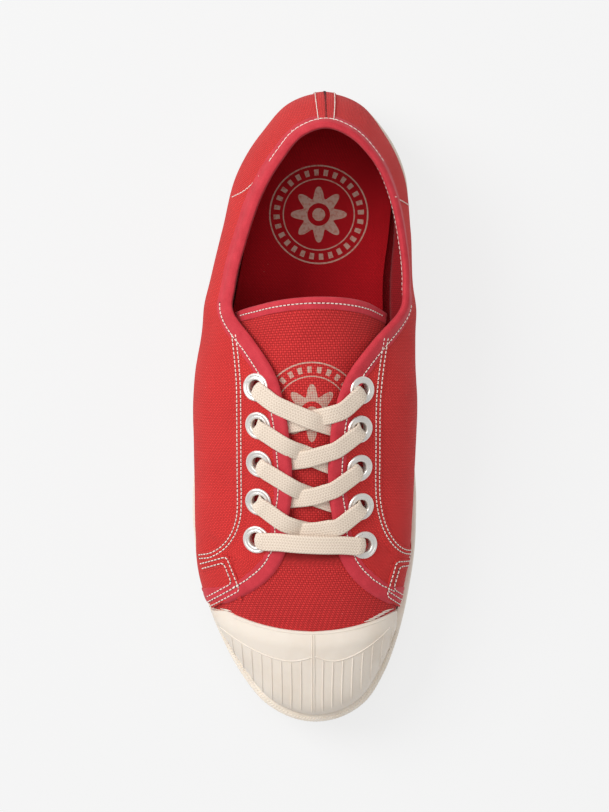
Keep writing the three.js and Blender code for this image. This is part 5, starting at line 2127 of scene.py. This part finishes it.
    def sweep(self, path: list[Array], pattern: Pattern) -> None:
        """Sweeps the flat section along a path.

        Args:
            path: rows of place, width share, hollow and the strip's direction across.
            pattern: where the mesh is added.
        """
        table = np.array(path)
        for k in range(1, len(table)):
            if table[k, 5:] @ table[k - 1, 5:] < 0:
                table[k, 5:] *= -1
        dense = curve_through(table, 7)
        p, share, hollow = dense[:, :3], dense[:, 3], dense[:, 4]
        along = unit(np.gradient(p, axis=0))
        side = dense[:, 5:]
        across = unit(side - along * (along * side).sum(1)[:, None])
        face = np.cross(across, along)
        turn = np.linspace(0, 2 * np.pi, 20, endpoint=False)
        w = np.sign(np.cos(turn)) * np.abs(np.cos(turn)) ** 0.35 * self.width / 2
        h = np.sign(np.sin(turn)) * np.abs(np.sin(turn)) ** 0.6 * self.thick / 2
        bend = hollow[:, None] * (w[None, :] / (self.width / 2)) ** 2 * 1.5
        grid = (p[:, None] + across[:, None] * (w[None, :] * share[:, None])[..., None]
                + face[:, None] * (h[None, :] + bend)[..., None])
        length = np.concatenate([[0.0], np.cumsum(np.linalg.norm(np.diff(p, axis=0), axis=1))])
        coords = np.stack(np.broadcast_arrays(length[:, None], np.concatenate([w, w[:1]])[None, :]), -1)
        pattern.grid(grid, np.concatenate([coords, coords[-1:]], 0), 0, close_j=True)
        for k in (0, -1):
            pattern.grid(np.stack([grid[k, :11], np.concatenate([grid[k, :1], grid[k, :9:-1]])], 0))


# ------------------------------------------------------------------------------------------ stage
@dataclass
class Studio:
    """A pale floor, soft light and the camera above the shoe."""

    height: float = 1600.0
    view: float = 332.92
    aim: tuple[float, float] = (-0.9, -0.4)

    def camera(self) -> None:
        """Sets the camera straight above the shoe."""
        data = bpy.data.cameras.new("camera")
        data.sensor_width = 36.0
        data.lens = data.sensor_width * self.height / self.view
        data.clip_start, data.clip_end = 0.05, 20.0
        camera = bpy.data.objects.new("camera", data)
        camera.location = (self.aim[0] * MM, self.aim[1] * MM, self.height * MM)
        bpy.context.scene.collection.objects.link(camera)
        bpy.context.scene.camera = camera

    def light(self, name: str, place: tuple[float, float, float], size: float, power: float) -> None:
        """Adds a square soft light aimed at the shoe.

        Args:
            name: its name.
            place: its place in metres.
            size: its side in metres.
            power: its power in watts.
        """
        data = bpy.data.lights.new(name, "AREA")
        data.size, data.energy = size, power
        lamp = bpy.data.objects.new(name, data)
        lamp.location = place
        direction = -np.array(place)
        flat = math.hypot(direction[0], direction[1])
        lamp.rotation_euler = (math.atan2(flat, -direction[2]), 0.0,
                               math.atan2(direction[1], direction[0]) - math.pi / 2)
        bpy.context.scene.collection.objects.link(lamp)

    def build(self) -> None:
        """Makes the floor and the lights."""
        scene = bpy.context.scene
        scene.view_settings.view_transform = "Standard"
        world = bpy.data.worlds.new("studio")
        scene.world = world
        world.use_nodes = True
        world.node_tree.nodes["Background"].inputs[0].default_value = (1.0, 1.0, 1.0, 1.0)
        world.node_tree.nodes["Background"].inputs[1].default_value = 0.46
        self.light("key", (-1.3, 0.7, 1.5), 1.1, 29.0)
        self.light("top", (-0.1, 0.2, 2.2), 1.6, 15.0)
        mesh = bpy.data.meshes.new("floor")
        half = 3.0
        mesh.from_pydata([(-half, -half, 0), (half, -half, 0), (half, half, 0), (-half, half, 0)], [],
                         [(0, 1, 2, 3)])
        floor = bpy.data.objects.new("floor", mesh)
        scene.collection.objects.link(floor)
        material, n, shader = new_material("pale floor")
        n.put(shader, {
            "Base Color": (0.15, 0.15, 0.15, 1.0), "Emission Color": (1.0, 1.0, 1.0, 1.0),
            "Emission Strength": 0.74, "Specular IOR Level": 0.0, "Roughness": 0.9})
        mesh.materials.append(material)


def main() -> None:
    """Builds the shoe's pieces in order round its frame."""
    logging.basicConfig(level=logging.INFO, format="%(message)s")
    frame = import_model()
    studio = Studio()
    studio.camera()
    finishes = Finishes.make()
    repeats = Repeats()
    eyelets = Eyelets(finishes)
    upper = Upper(finishes, repeats, eyelets.seats())
    for side in Side:
        upper.quarter(side)
    upper.vamp_and_tongue()
    upper.binding()
    upper.panels()
    upper.heel()
    rubber = RubberParts(finishes, repeats)
    rubber.toe_cap()
    rubber.cap_relief()
    rubber.foxing()
    rubber.knurl()
    Insole(finishes).build()
    eyelets.build()
    Lace(finishes, eyelets.seats()).build()
    sole = frame["nodes"]["outsole"].data
    sole.materials.clear()
    sole.materials.append(finishes.sole)
    studio.build()


if __name__ == "__main__":
    main()
